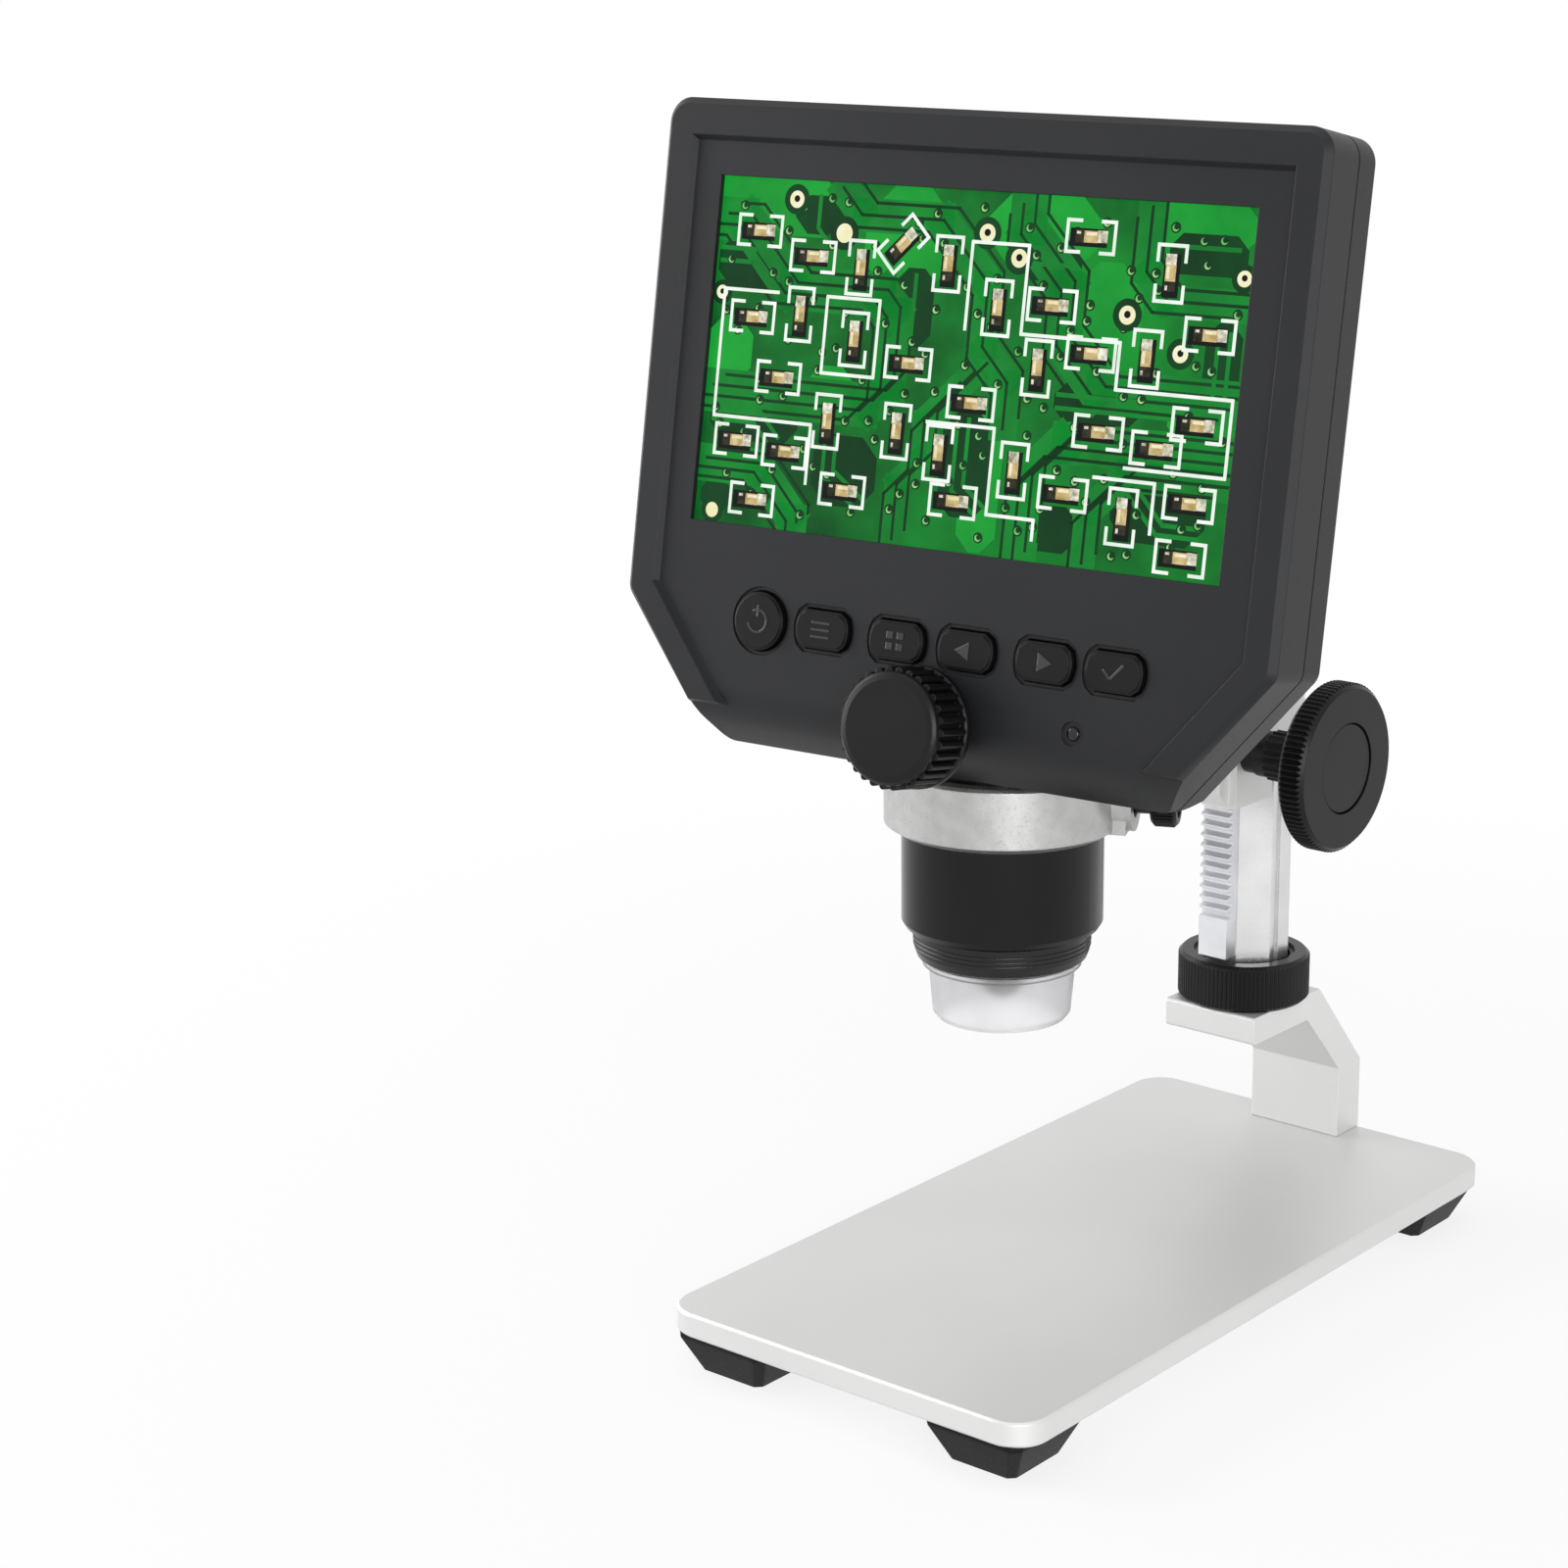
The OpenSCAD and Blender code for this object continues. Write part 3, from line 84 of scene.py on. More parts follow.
LENS_AXIS = Matrix.Translation((0, LENS_Y * MM, 0)) @ Matrix.Rotation(HEAD_YAW, 4, "Z")
HEAD = (
    LENS_AXIS
    @ Matrix.Translation((0, -HEAD_FORWARD * MM, HEAD_HEIGHT * MM))
    @ Matrix.Rotation(-HEAD_TILT, 4, "X")
    @ Matrix.Rotation(math.radians(90), 4, "X")
)  # a flat drawing in x, y becomes one in the display's plane, z running out of it
TO_HEAD = HEAD.inverted()
HEAD_TURN = HEAD.to_3x3()
TURN_TO_HEAD = TO_HEAD.to_3x3()


# ---------------------------------------------------------------- materials
def linear(hexcode, alpha=1.0):
    """An sRGB colour such as "#3A3A3E" as the linear RGBA that a socket takes."""
    out = []
    for i in (1, 3, 5):
        c = int(hexcode[i : i + 2], 16) / 255
        out.append(c / 12.92 if c <= 0.04045 else ((c + 0.055) / 1.055) ** 2.4)
    return (*out, alpha)


def add(tree, kind, inputs=None, **settings):
    """One node with its settings; an input is a value or a (node, output) link."""
    node = tree.nodes.new(kind)
    for key, value in settings.items():
        setattr(node, key, value)
    for key, value in (inputs or {}).items():
        socket = node.inputs[key]
        if isinstance(value, tuple) and len(value) == 2 and hasattr(value[0], "outputs"):
            tree.links.new(value[0].outputs[value[1]], socket)
        else:
            socket.default_value = value
    return node


def blank(name):
    """A new material with an empty tree and its output node."""
    material = bpy.data.materials.new(name)
    material.use_nodes = True
    material.node_tree.nodes.clear()
    return material, material.node_tree, add(material.node_tree, "ShaderNodeOutputMaterial")


def ramp(tree, factor, stops):
    """A colour ramp; stops are (position, hex colour) pairs."""
    node = add(tree, "ShaderNodeValToRGB", {"Fac": factor})
    elements = node.color_ramp.elements
    for element, (place, colour) in zip(elements, stops):
        element.position = place
        element.color = linear(colour)
    return node


def noise(tree, place, cell_mm, detail, roughness):
    """A noise whose cells have a size in millimetres, on Object coordinates."""
    return add(tree, "ShaderNodeTexNoise",
               {"Vector": (place, "Object"), "Scale": 1000 / cell_mm,
                "Detail": detail, "Roughness": roughness})


def finish_material(name, low, high, patch, rough, swing, grain, relief, edge=0.25,
                    specular=0.5, **sockets):
    """A solid with soft patches between two colours, a fine grain that swings its
    roughness and stands in its bump, and edges broken to a small radius. The sizes of
    patches, grain, relief and edge are in millimetres."""
    material, tree, output = blank(name)
    place = add(tree, "ShaderNodeTexCoord")
    patches = noise(tree, place, patch, 3.0, 0.5)
    colour = ramp(tree, (patches, "Fac"), [(0.3, low), (0.7, high)])
    grains = noise(tree, place, grain, 4.0, 0.65)
    gloss = add(tree, "ShaderNodeMapRange",
                {"Value": (grains, "Fac"), "From Min": 0.3, "From Max": 0.7,
                 "To Min": rough - swing, "To Max": rough + swing})
    heights = {"Height": (grains, "Fac"), "Strength": 1.0, "Distance": relief * MM}
    if edge:
        rounded = add(tree, "ShaderNodeBevel", {"Radius": edge * MM}, samples=4)
        heights["Normal"] = (rounded, "Normal")
    bump = add(tree, "ShaderNodeBump", heights)
    surface = add(tree, "ShaderNodeBsdfPrincipled",
                  {"Base Color": (colour, "Color"), "Roughness": (gloss, "Result"),
                   "Specular IOR Level": specular, "Normal": (bump, "Normal"), **sockets})
    tree.links.new(surface.outputs["BSDF"], output.inputs["Surface"])
    return material


# Die-cast aluminium, bead-blasted and clear anodised: pale, even, a fine sparkle.
blasted_aluminium = finish_material(
    "blasted_aluminium", "#D3D3D2", "#D9D9D8", patch=60, rough=0.46, swing=0.05, grain=0.3,
    relief=0.004, Metallic=0.6)

# Gravity-cast ring, tumbled and blasted: greyer, a coarser sparkle.
cast_aluminium = finish_material(
    "cast_aluminium", "#ACACAA", "#B8B8B6", patch=2.5, rough=0.34, swing=0.10, grain=0.4,
    relief=0.014, Metallic=0.85)

# Octagonal bar of drawn aluminium, satin polished: smoother and brighter.
satin_aluminium = finish_material(
    "satin_aluminium", "#CBCBCB", "#DDDDDD", patch=14, rough=0.25, swing=0.03, grain=0.25,
    relief=0.0006, Metallic=0.88)

# Milled steel rack: bright flats.
milled_rack = finish_material(
    "milled_rack", "#D4D5D8", "#E6E7EA", patch=8, rough=0.33, swing=0.06, grain=0.5,
    relief=0.006, Metallic=0.85)

# Zinc-plated screws and folded sockets: greyer, a little cloudy.
zinc_plated_steel = finish_material(
    "zinc_plated_steel", "#9C9DA1", "#B4B5B9", patch=3, rough=0.32, swing=0.08, grain=0.3,
    relief=0.004, Metallic=1.0)

# Moulded rubber feet: matt, slightly dusty.
moulded_rubber = finish_material(
    "moulded_rubber", "#08080A", "#0E0E10", patch=6, rough=0.48, swing=0.06, grain=0.5,
    relief=0.02, specular=0.14)

# Injection-moulded ABS of the two shells: the soft sheen of a spark-eroded texture.
charcoal_abs = finish_material(
    "charcoal_abs", "#121315", "#17181B", patch=25, rough=0.46, swing=0.04, grain=0.35,
    relief=0.012, specular=0.3)

# Black ABS of knobs and keys: darker, a little smoother.
black_abs = finish_material(
    "black_abs", "#08080A", "#0E0E10", patch=12, rough=0.36, swing=0.04, grain=0.4,
    relief=0.006, specular=0.22)

# The same ABS on the raised signs, rubbed smooth, its lighter grey a painted highlight for the
# light that the raised strokes catch.
sign_highlight_abs = finish_material(
    "sign_highlight_abs", "#232326", "#2E2E32", patch=2, rough=0.22, swing=0.03, grain=0.3,
    relief=0.002, edge=0)

# Black anodised collar: dark metal under a thin dyed layer.
black_anodised = finish_material(
    "black_anodised", "#060606", "#09090A", patch=8, rough=0.34, swing=0.04, grain=0.4,
    relief=0.003, specular=0.3, Metallic=0.1)

# Semi-gloss black of the barrel: deep, with clear lights along its sides.
satin_black_barrel = finish_material(
    "satin_black_barrel", "#040404", "#080808", patch=20, rough=0.18, swing=0.02, grain=0.8,
    relief=0.0005, specular=0.25)

# Lower step of the barrel: the same black, worn a little greyer by hands.
worn_black_barrel = finish_material(
    "worn_black_barrel", "#0B0B0C", "#111112", patch=3, rough=0.28, swing=0.05, grain=0.6,
    relief=0.002, edge=0, specular=0.34)

# Lens parts blacked against stray light: dull and matt.
matt_black_lens = finish_material(
    "matt_black_lens", "#151517", "#1C1C1F", patch=4, rough=0.6, swing=0.05, grain=0.4,
    relief=0.01)

# Moulded display tray and socket linings: plain dark grey.
black_tray = finish_material(
    "black_tray", "#101012", "#151518", patch=10, rough=0.5, swing=0.05, grain=0.5,
    relief=0.004)

# Circuit boards inside, solder mask over copper: a cloudy green.
solder_mask = finish_material(
    "solder_mask", "#0F4A2C", "#1B6B40", patch=5, rough=0.35, swing=0.08, grain=0.6,
    relief=0.01)

# The lamps' board, printed with white mask: bright, so that it throws light down.
white_mask = finish_material(
    "white_mask", "#DEDEDA", "#F0F0EC", patch=5, rough=0.4, swing=0.05, grain=0.5,
    relief=0.004)

# The battery's pouch, foil laminate: soft creased grey.
foil_pouch = finish_material(
    "foil_pouch", "#A9AAAE", "#C4C5C9", patch=9, rough=0.35, swing=0.08, grain=1.0,
    relief=0.02, Metallic=0.6)

# Vacuum-plated plastic round the lamps: almost a mirror.
plated_reflector = finish_material(
    "plated_reflector", "#D8DADF", "#E6E8EC", patch=4, rough=0.12, swing=0.03, grain=0.5,
    relief=0.002, Metallic=1.0)

# Cast resin of the lamp domes: warm, half clear.
lamp_resin = finish_material(
    "lamp_resin", "#EDE6C8", "#FBF6E2", patch=1.5, rough=0.2, swing=0.05, grain=0.5,
    relief=0.002, edge=0, **{"Transmission Weight": 0.35, "IOR": 1.53})

# Coated glass of the objective: a deep blue under a hard bright skin.
coated_glass = finish_material(
    "coated_glass", "#22304A", "#2C3E62", patch=3, rough=0.05, swing=0.01, grain=0.8,
    relief=0.0005, edge=0, **{"Coat Weight": 1.0, "Coat Roughness": 0.03, "IOR": 1.6})

# Smoked light pipe of the status lamp: almost black while the lamp is off.
light_pipe = finish_material(
    "light_pipe", "#040405", "#09090B", patch=1.5, rough=0.22, swing=0.03, grain=0.5,
    relief=0.002, specular=0.2)

# Polished dome of the status lens: smooth enough to carry a point of light.
polished_dome = finish_material(
    "polished_dome", "#050506", "#0A0A0C", patch=1.5, rough=0.12, swing=0.02, grain=0.5,
    relief=0.0005, edge=0)

# Clear plastic cap, frosted inside: milky, lets the lens show as a shadow.
frosted_clear = finish_material(
    "frosted_clear", "#EAEAEC", "#F4F4F6", patch=6, rough=0.33, swing=0.03, grain=0.5,
    relief=0.002, edge=0, **{"Transmission Weight": 0.9, "IOR": 1.46})


def lit_material(name, low, high, patch_mm):
    """A lit part of the display's picture under its clear film."""
    material, tree, output = blank(name)
    place = add(tree, "ShaderNodeTexCoord")
    patches = noise(tree, place, patch_mm, 4.0, 0.6)
    colour = ramp(tree, (patches, "Fac"), [(0.35, low), (0.65, high)])
    surface = add(tree, "ShaderNodeBsdfPrincipled",
                  {"Base Color": linear("#050505"), "Emission Color": (colour, "Color"),
                   "Emission Strength": 1.0, "Roughness": 0.3, "Specular IOR Level": 0.12})
    tree.links.new(surface.outputs["BSDF"], output.inputs["Surface"])
    return material


# Solder mask of the board in the picture: wide clouds from dark to light green.
lit_board = lit_material("lit_board", "#024E1C", "#0B8C2C", 30)
# Poured copper under the mask: the lightest green.
lit_pour = lit_material("lit_pour", "#0B8E2D", "#17A636", 16)
# Tracks under the mask: a middle green.
lit_track = lit_material("lit_track", "#077628", "#0E8C30", 12)
# Bare laminate between tracks: the darkest green.
lit_gap = lit_material("lit_gap", "#013212", "#03451B", 18)
# Lit edge of a via: a pale green crescent.
lit_via = lit_material("lit_via", "#5FB45A", "#A9DC90", 4)
# Hole of a via: nearly black green.
lit_hole_green = lit_material("lit_hole_green", "#013316", "#02421C", 6)
# Tinned pads: warm cream.
lit_pad = lit_material("lit_pad", "#EDE9B4", "#FBF8DC", 3)
# Drilled holes, and the shadows round the chips: black.
lit_hole = lit_material("lit_hole", "#020806", "#06120C", 3)
# Screen-printed ink: white with a breath of green.
lit_print = lit_material("lit_print", "#E2F0E2", "#FAFFFA", 5)
# Ceramic chip bodies: sand brown.
lit_chip = lit_material("lit_chip", "#B0965C", "#DAC690", 1.6)
# Light along a chip's upper edge: cream.
lit_chip_top = lit_material("lit_chip_top", "#E4D6A6", "#F8F0D2", 1.2)
# A chip's metal end in shadow: dark olive.
lit_dark_end = lit_material("lit_dark_end", "#1A1A12", "#3A3826", 1.0)
# A chip's soldered end in the light: silver, patchy.
lit_solder = lit_material("lit_solder", "#8E8C70", "#F8F6E2", 1.1)

MATERIALS = {
    "base_plate": blasted_aluminium,
    "base_feet": moulded_rubber,
    "foot_screws": zinc_plated_steel,
    "bracket": blasted_aluminium,
    "bracket_screws": zinc_plated_steel,
    "column": satin_aluminium,
    "column_screw": zinc_plated_steel,
    "rack": milled_rack,
    "rack_screws": zinc_plated_steel,
    "column_cap": black_abs,
    "knurled_collar": black_anodised,
    "carriage_block": blasted_aluminium,
    "shaft_bushes": black_abs,
    "tension_screws": zinc_plated_steel,
    "ring_arm": cast_aluminium,
    "arm_screws": zinc_plated_steel,
    "pinion_shaft": zinc_plated_steel,
    "height_knob_right": black_abs,
    "height_knob_left": black_abs,
    "knob_discs": black_abs,
    "clamp_screw": black_abs,
    "front_shell": charcoal_abs,
    "rear_shell": charcoal_abs,
    "shell_screws": zinc_plated_steel,
    "display_module": black_tray,
    "display_glass": lit_board,
    "power_key": black_abs,
    "menu_key": black_abs,
    "mode_key": black_abs,
    "left_key": black_abs,
    "right_key": black_abs,
    "ok_key": black_abs,
    "key_board": solder_mask,
    "main_board": solder_mask,
    "battery": foil_pouch,
    "power_socket": zinc_plated_steel,
    "card_socket": zinc_plated_steel,
    "status_lens": light_pipe,
    "focus_knob": black_abs,
    "focus_shaft": zinc_plated_steel,
    "barrel": satin_black_barrel,
    "light_housing": worn_black_barrel,
    "lamp_board": white_mask,
    "lamps": lamp_resin,
    "reflector": plated_reflector,
    "lens_tube": matt_black_lens,
    "objective": coated_glass,
    "sensor_board": solder_mask,
    "clear_cap": frosted_clear,
}


def dress(obj, material):
    """Gives obj this one material."""
    obj.data.materials.clear()
    obj.data.materials.append(material)


for name, obj in frame["nodes"].items():
    dress(obj, MATERIALS[name])

# ---------------------------------------------------------------- finished copies
# Sizes are in millimetres up to the camera. On the head, x, y and z run across the
# display, up it and out of it.
NEAR = 0.05  # how close a point lies to a level that it belongs to
ON_FACE = 0.03  # the same, for a point on a wide face

RIM_FOOT = 1.0  # levels at which the rim's inner wall starts and ends
RIM_TOP = 2.0
RIM_LEAN = 0.75  # lean of the wall at the top and at the left
RIM_LEAN_RIGHT = 0.25
RIM_TOP_WALL = 30  # what lies above this height belongs to the top wall

CHIN_CORNER = (-56.42, 1.0)  # the bend of the chin, and the far ends of its two faces
CHIN_FACES = ((-46, 1.0), (-62.0, -5.0))
CHIN_REACH = 3.8
CHIN_STEPS = 5

SEAM = -7.5  # level at which the two shells meet
SEAM_BAND = 0.4  # how far above it the front shell starts to draw in
SEAM_DEPTH = 0.45  # and how far in it stands at the seam
SHELL_MIDDLE = -10  # height of the shell's middle
OUTER_WALL = 20  # faces that look away from it farther out than this are outer ones

FLAT_WITHIN = math.radians(0.6)  # faces that bend less than this are one flat
SHARP_FROM = math.radians(28)  # edges that bend more than this are broken
SMOOTH_UNDER = math.radians(32)  # edges that bend less than this are shaded smooth


def only(obj):
    """Leaves obj as the one selected, active object."""
    bpy.ops.object.select_all(action="DESELECT")
    obj.select_set(True)
    bpy.context.view_layer.objects.active = obj


def head_spots(piece):
    """The place of each vertex in the head's own directions."""
    return [TO_HEAD @ vertex.co / MM for vertex in piece.data.vertices]


def cut(y, z, way):
    """Cuts the selected faces by a plane across the head and goes back to object mode."""
    bpy.ops.mesh.bisect(
        plane_co=HEAD @ Vector((0, y * MM, z * MM)), plane_no=HEAD_TURN @ Vector(way))
    bpy.ops.mesh.select_all(action="DESELECT")
    bpy.ops.object.mode_set(mode="OBJECT")


def roll_edge(piece, corner, ends, reach, steps):
    """Rolls a long straight edge of the head into an arc. Its corner and the far ends of
    its two faces are points across the edge, (up the head, out of it)."""
    corner = Vector(corner)
    along = [(Vector(end) - corner).normalized() for end in ends]
    half = (math.pi - along[0].angle(along[1])) / 2
    radius = reach / math.tan(half)
    centre = corner + (along[0] + along[1]).normalized() * radius / math.cos(half)
    for way in along:
        across = Vector((-way.y, way.x))
        for k in range(steps):
            spots = head_spots(piece)
            for face in piece.data.polygons:
                offs = [Vector((spots[i].y, spots[i].z)) - corner for i in face.vertices]
                face.select = all(abs(off @ across) < ON_FACE for off in offs)
            bpy.ops.object.mode_set(mode="EDIT")
            spot = corner + way * reach * (1 - k / steps)
            cut(spot.x, spot.y, (0, way.x, way.y))
    for vertex, spot in zip(piece.data.vertices, head_spots(piece)):
        off = Vector((spot.y, spot.z)) - corner
        for way in along:
            far = off @ way
            if abs(off @ Vector((-way.y, way.x))) < ON_FACE and -0.01 < far < reach:
                turn = half * (1 - far / reach)
                start = (corner + way * reach - centre) / radius
                place = centre + (start * math.cos(turn) - way * math.sin(turn)) * radius
                vertex.co = HEAD @ (Vector((spot.x, place.x, place.y)) * MM)
                break


def slope_rim(piece):
    """Leans the rim's inner wall outwards at its foot, as a mould's draft does."""
    spots = head_spots(piece)
    feet = set()
    for face in piece.data.polygons:
        levels = [spots[i].z for i in face.vertices]
        upright = abs((TURN_TO_HEAD @ face.normal).z) < 0.05
        if upright and min(levels) > RIM_FOOT - NEAR and max(levels) > RIM_TOP - NEAR:
            feet.update(i for i in face.vertices if spots[i].z < RIM_FOOT + NEAR)
    for i in feet:
        x, y, z = spots[i]
        lean = RIM_LEAN if x < 0 else RIM_LEAN_RIGHT
        moved = Vector((x - math.copysign(lean, x), y - RIM_LEAN * (y > RIM_TOP_WALL), z))
        piece.data.vertices[i].co = HEAD @ (moved * MM)


def open_seam(piece):
    """Breaks the front shell's rear edge, so that the two shells meet in a thin dark line."""
    bpy.ops.object.mode_set(mode="EDIT")
    bpy.ops.mesh.select_all(action="SELECT")
    cut(0, SEAM + SEAM_BAND, (0, 0, 1))
    spots = head_spots(piece)
    outwards = {}
    for face in piece.data.polygons:
        way = TURN_TO_HEAD @ face.normal
        for i in face.vertices:
            x, y, z = spots[i]
            outer = way.x * x + way.y * (y - SHELL_MIDDLE) > OUTER_WALL
            if outer and abs(way.z) < 0.3 and abs(z - SEAM) < NEAR:
                outwards[i] = outwards.get(i, Vector()) + way
    for i, way in outwards.items():
        way.z = 0
        moved = spots[i] - SEAM_DEPTH * way.normalized()
        piece.data.vertices[i].co = HEAD @ (moved * MM)


def finished_copy(node):
    """A copy of a CAD node, its doubled vertices merged, that stands for it."""
    source = frame["nodes"][node]
    piece = source.copy()
    piece.data = source.data.copy()
    piece.name = node + "_finished"
    piece.parent = None
    for key in list(piece.keys()):
        del piece[key]
    bpy.context.scene.collection.objects.link(piece)
    only(piece)
    bpy.ops.mesh.customdata_custom_splitnormals_clear()
    bpy.ops.object.mode_set(mode="EDIT")
    bpy.ops.mesh.select_all(action="SELECT")
    bpy.ops.mesh.remove_doubles(threshold=0.000002)
    bpy.ops.mesh.select_all(action="DESELECT")
    bpy.ops.object.mode_set(mode="OBJECT")
    dress(piece, MATERIALS[node])
    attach(piece, source["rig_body"])
    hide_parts(node)
    return piece


def break_edges(piece, width):
    """Breaks sharp edges, as a moulded or cast piece's are."""
    bpy.ops.object.mode_set(mode="EDIT")
    bpy.ops.mesh.select_all(action="SELECT")
    bpy.ops.mesh.dissolve_limited(angle_limit=FLAT_WITHIN)
    bpy.ops.mesh.select_all(action="DESELECT")
    bpy.ops.object.mode_set(mode="OBJECT")
    bevel = piece.modifiers.new("edge_break", "BEVEL")
    bevel.width = width * MM
    bevel.segments = 2
    bevel.limit_method = "ANGLE"
    bevel.angle_limit = SHARP_FROM
    bevel.miter_outer = "MITER_ARC"
    bevel.use_clamp_overlap = True
    bpy.ops.object.modifier_apply(modifier="edge_break")


def smooth(piece):
    """Shades soft bends smooth and keeps wide faces flat."""
    bpy.ops.object.shade_smooth_by_angle(angle=SMOOTH_UNDER)
    flats = piece.modifiers.new("flat_faces", "WEIGHTED_NORMAL")
    flats.keep_sharp = True
    bpy.ops.object.modifier_apply(modifier="flat_faces")


def line_socket(node, far_end_only):
    """A copy of a folded steel socket with black moulding on all faces of its pocket, or
    only on the one at its far end."""
    piece = finished_copy(node)
    piece.data.materials.append(black_tray)
    spots = head_spots(piece)
    box = [(min(spot[i] for spot in spots), max(spot[i] for spot in spots)) for i in range(3)]
    for face in piece.data.polygons:
        middle = sum((spots[i] for i in face.vertices), Vector()) / len(face.vertices)
        in_pocket = all(low + NEAR < middle[i] < high - NEAR
                        for i, (low, high) in enumerate(box))
        far_end = abs((TURN_TO_HEAD @ face.normal).x) >= 0.9
        if in_pocket and (far_end or not far_end_only):
            face.material_index = 1


EDGE_BREAKS = {"bracket": 0.35, "base_feet": 0.4, "column_cap": 0.3}
for node, width in EDGE_BREAKS.items():
    piece = finished_copy(node)
    break_edges(piece, width)
    smooth(piece)

front = finished_copy("front_shell")
slope_rim(front)
roll_edge(front, CHIN_CORNER, CHIN_FACES, CHIN_REACH, CHIN_STEPS)
open_seam(front)
smooth(front)

line_socket("power_socket", far_end_only=True)
line_socket("card_socket", far_end_only=False)


# ---------------------------------------------------------------- new pieces
def new_piece(name, *materials):
    """An empty mesh object in edit mode, ready for primitives."""
    piece = bpy.data.objects.new(name, bpy.data.meshes.new(name))
    bpy.context.scene.collection.objects.link(piece)
    for material in materials:
        piece.data.materials.append(material)
    only(piece)
    bpy.ops.object.mode_set(mode="EDIT")
    return piece


def settle(piece, body, place=None):
    """Leaves edit mode, puts the piece in its place and lets it ride on its body."""
    if bpy.context.mode != "OBJECT":
        bpy.ops.object.mode_set(mode="OBJECT")
    if place is not None:
        piece.data.transform(place)
    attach(piece, body)


def shape(w, h, d, x, y, z, turn=0.0):
    """Sizes, turns and places the primitive that was just added at the origin."""
    bpy.ops.transform.resize(value=(w, h, d), center_override=(0, 0, 0))
    if turn:
        bpy.ops.transform.rotate(
            value=-math.radians(turn), orient_axis="Z", center_override=(0, 0, 0))
    bpy.ops.transform.translate(value=(x * MM, y * MM, z * MM))


# The contact tongue inside the power socket.
tongue = new_piece("power_socket_tongue", black_tray)
bpy.ops.mesh.primitive_cube_add(size=MM)
shape(w=3.2, h=4.6, d=0.55, x=-55.2, y=6, z=-7.2)
settle(tongue, "head", HEAD)

# Three fine grip ridges round the lower step of the barrel, which widens upwards. Their
# heights are above the stage.
STEP_FOOT = 58.2
STEP_RADIUS = 14.2
STEP_SLOPE = 1 / 17
RIDGES = (58.9, 59.65, 60.4)
ridges = new_piece("light_housing_ridges")
for level in RIDGES:
    bpy.ops.mesh.primitive_torus_add(
        major_radius=(STEP_RADIUS + (level - STEP_FOOT) * STEP_SLOPE) * MM,
        minor_radius=0.15 * MM, major_segments=96, minor_segments=8,
        location=(0, LENS_Y * MM, level * MM))
settle(ridges, "head")
dress(ridges, worn_black_barrel)
ridges.data.polygons.foreach_set("material_index", [0] * len(ridges.data.polygons))

# The low dome on the status lens, its lower half sunk in the lens.
dome = new_piece("status_lens_dome", polished_dome)
bpy.ops.mesh.primitive_uv_sphere_add(segments=32, ring_count=16, radius=0.5 * MM)
shape(w=1.9, h=1.9, d=0.5, x=26, y=-51.8, z=0.72)
settle(dome, "head", HEAD)
only(dome)
bpy.ops.object.shade_smooth()


# ---------------------------------------------------------------- the display's picture
def bar(x, y, w, h, z, turn=0.0):
    """A flat bar."""
    bpy.ops.mesh.primitive_plane_add(size=MM)
    shape(w, h, 1, x, y, z, turn)


def disc(x, y, r, z, sides):
    """A flat disc."""
    bpy.ops.mesh.primitive_circle_add(
        vertices=sides, radius=r * MM, fill_type="NGON", location=(x * MM, y * MM, z * MM))


def line(points, w, z):
    """A run of straight bars through points, each a little longer so that corners close."""
    for (x0, y0), (x1, y1) in zip(points, points[1:]):
        length = math.hypot(x1 - x0, y1 - y0) + w * 0.7
        turn = math.degrees(math.atan2(y1 - y0, x1 - x0))
        bar((x0 + x1) / 2, (y0 + y1) / 2, length, w, z, turn)


def area(x, y, w, h, corner, z):
    """A flat area whose corners are cut at 45 degrees."""
    bar(x, y, w, h, z)
    bpy.ops.mesh.bevel(offset=corner * MM, segments=1, affect="VERTICES")


def drawing(name, material, draw, rows, z, **sizes):
    """One layer of the picture, at its own level: a call of draw for each row."""
    piece = new_piece(name, material)
    for row in rows:
        draw(*row, z=z, **sizes)
    settle(piece, "head", HEAD)


# Copper poured in wide areas: centre, size and cut corner of each.
POURS = [
    (-38, 23, 26, 9, 3), (-12, 19, 16, 17, 5), (12, 22, 20, 11, 4), (24, 8, 12, 20, 4),
    (38, 24, 20, 8, 3), (5, -16, 7, 22, 2.5), (-44, 0, 9, 11, 3), (42, -4, 12, 6, 2),
    (-24, -4, 8, 6, 2),
]
drawing("picture_pours", lit_pour, area, POURS, z=-0.048)

# Bare laminate without copper, in the same way.
LAMINATE = [
    (-41, 14, 13, 9, 3), (-29, 22, 9, 6, 2.5), (-10, 9, 7, 12, 2), (14, 17, 10, 5, 2),
    (40, 20, 13, 6, 2), (-38, -10, 17, 8, 2.5), (-20, -17, 12, 11, 3), (2, -14, 9, 16, 2.5),
    (24, -3, 15, 6, 2), (36, -18, 16, 9, 3), (18, -22, 9, 7, 2), (44, 4, 6, 13, 2),
    (-44, -23, 6, 6, 2),
]
drawing("picture_laminate", lit_gap, area, LAMINATE, z=-0.045)

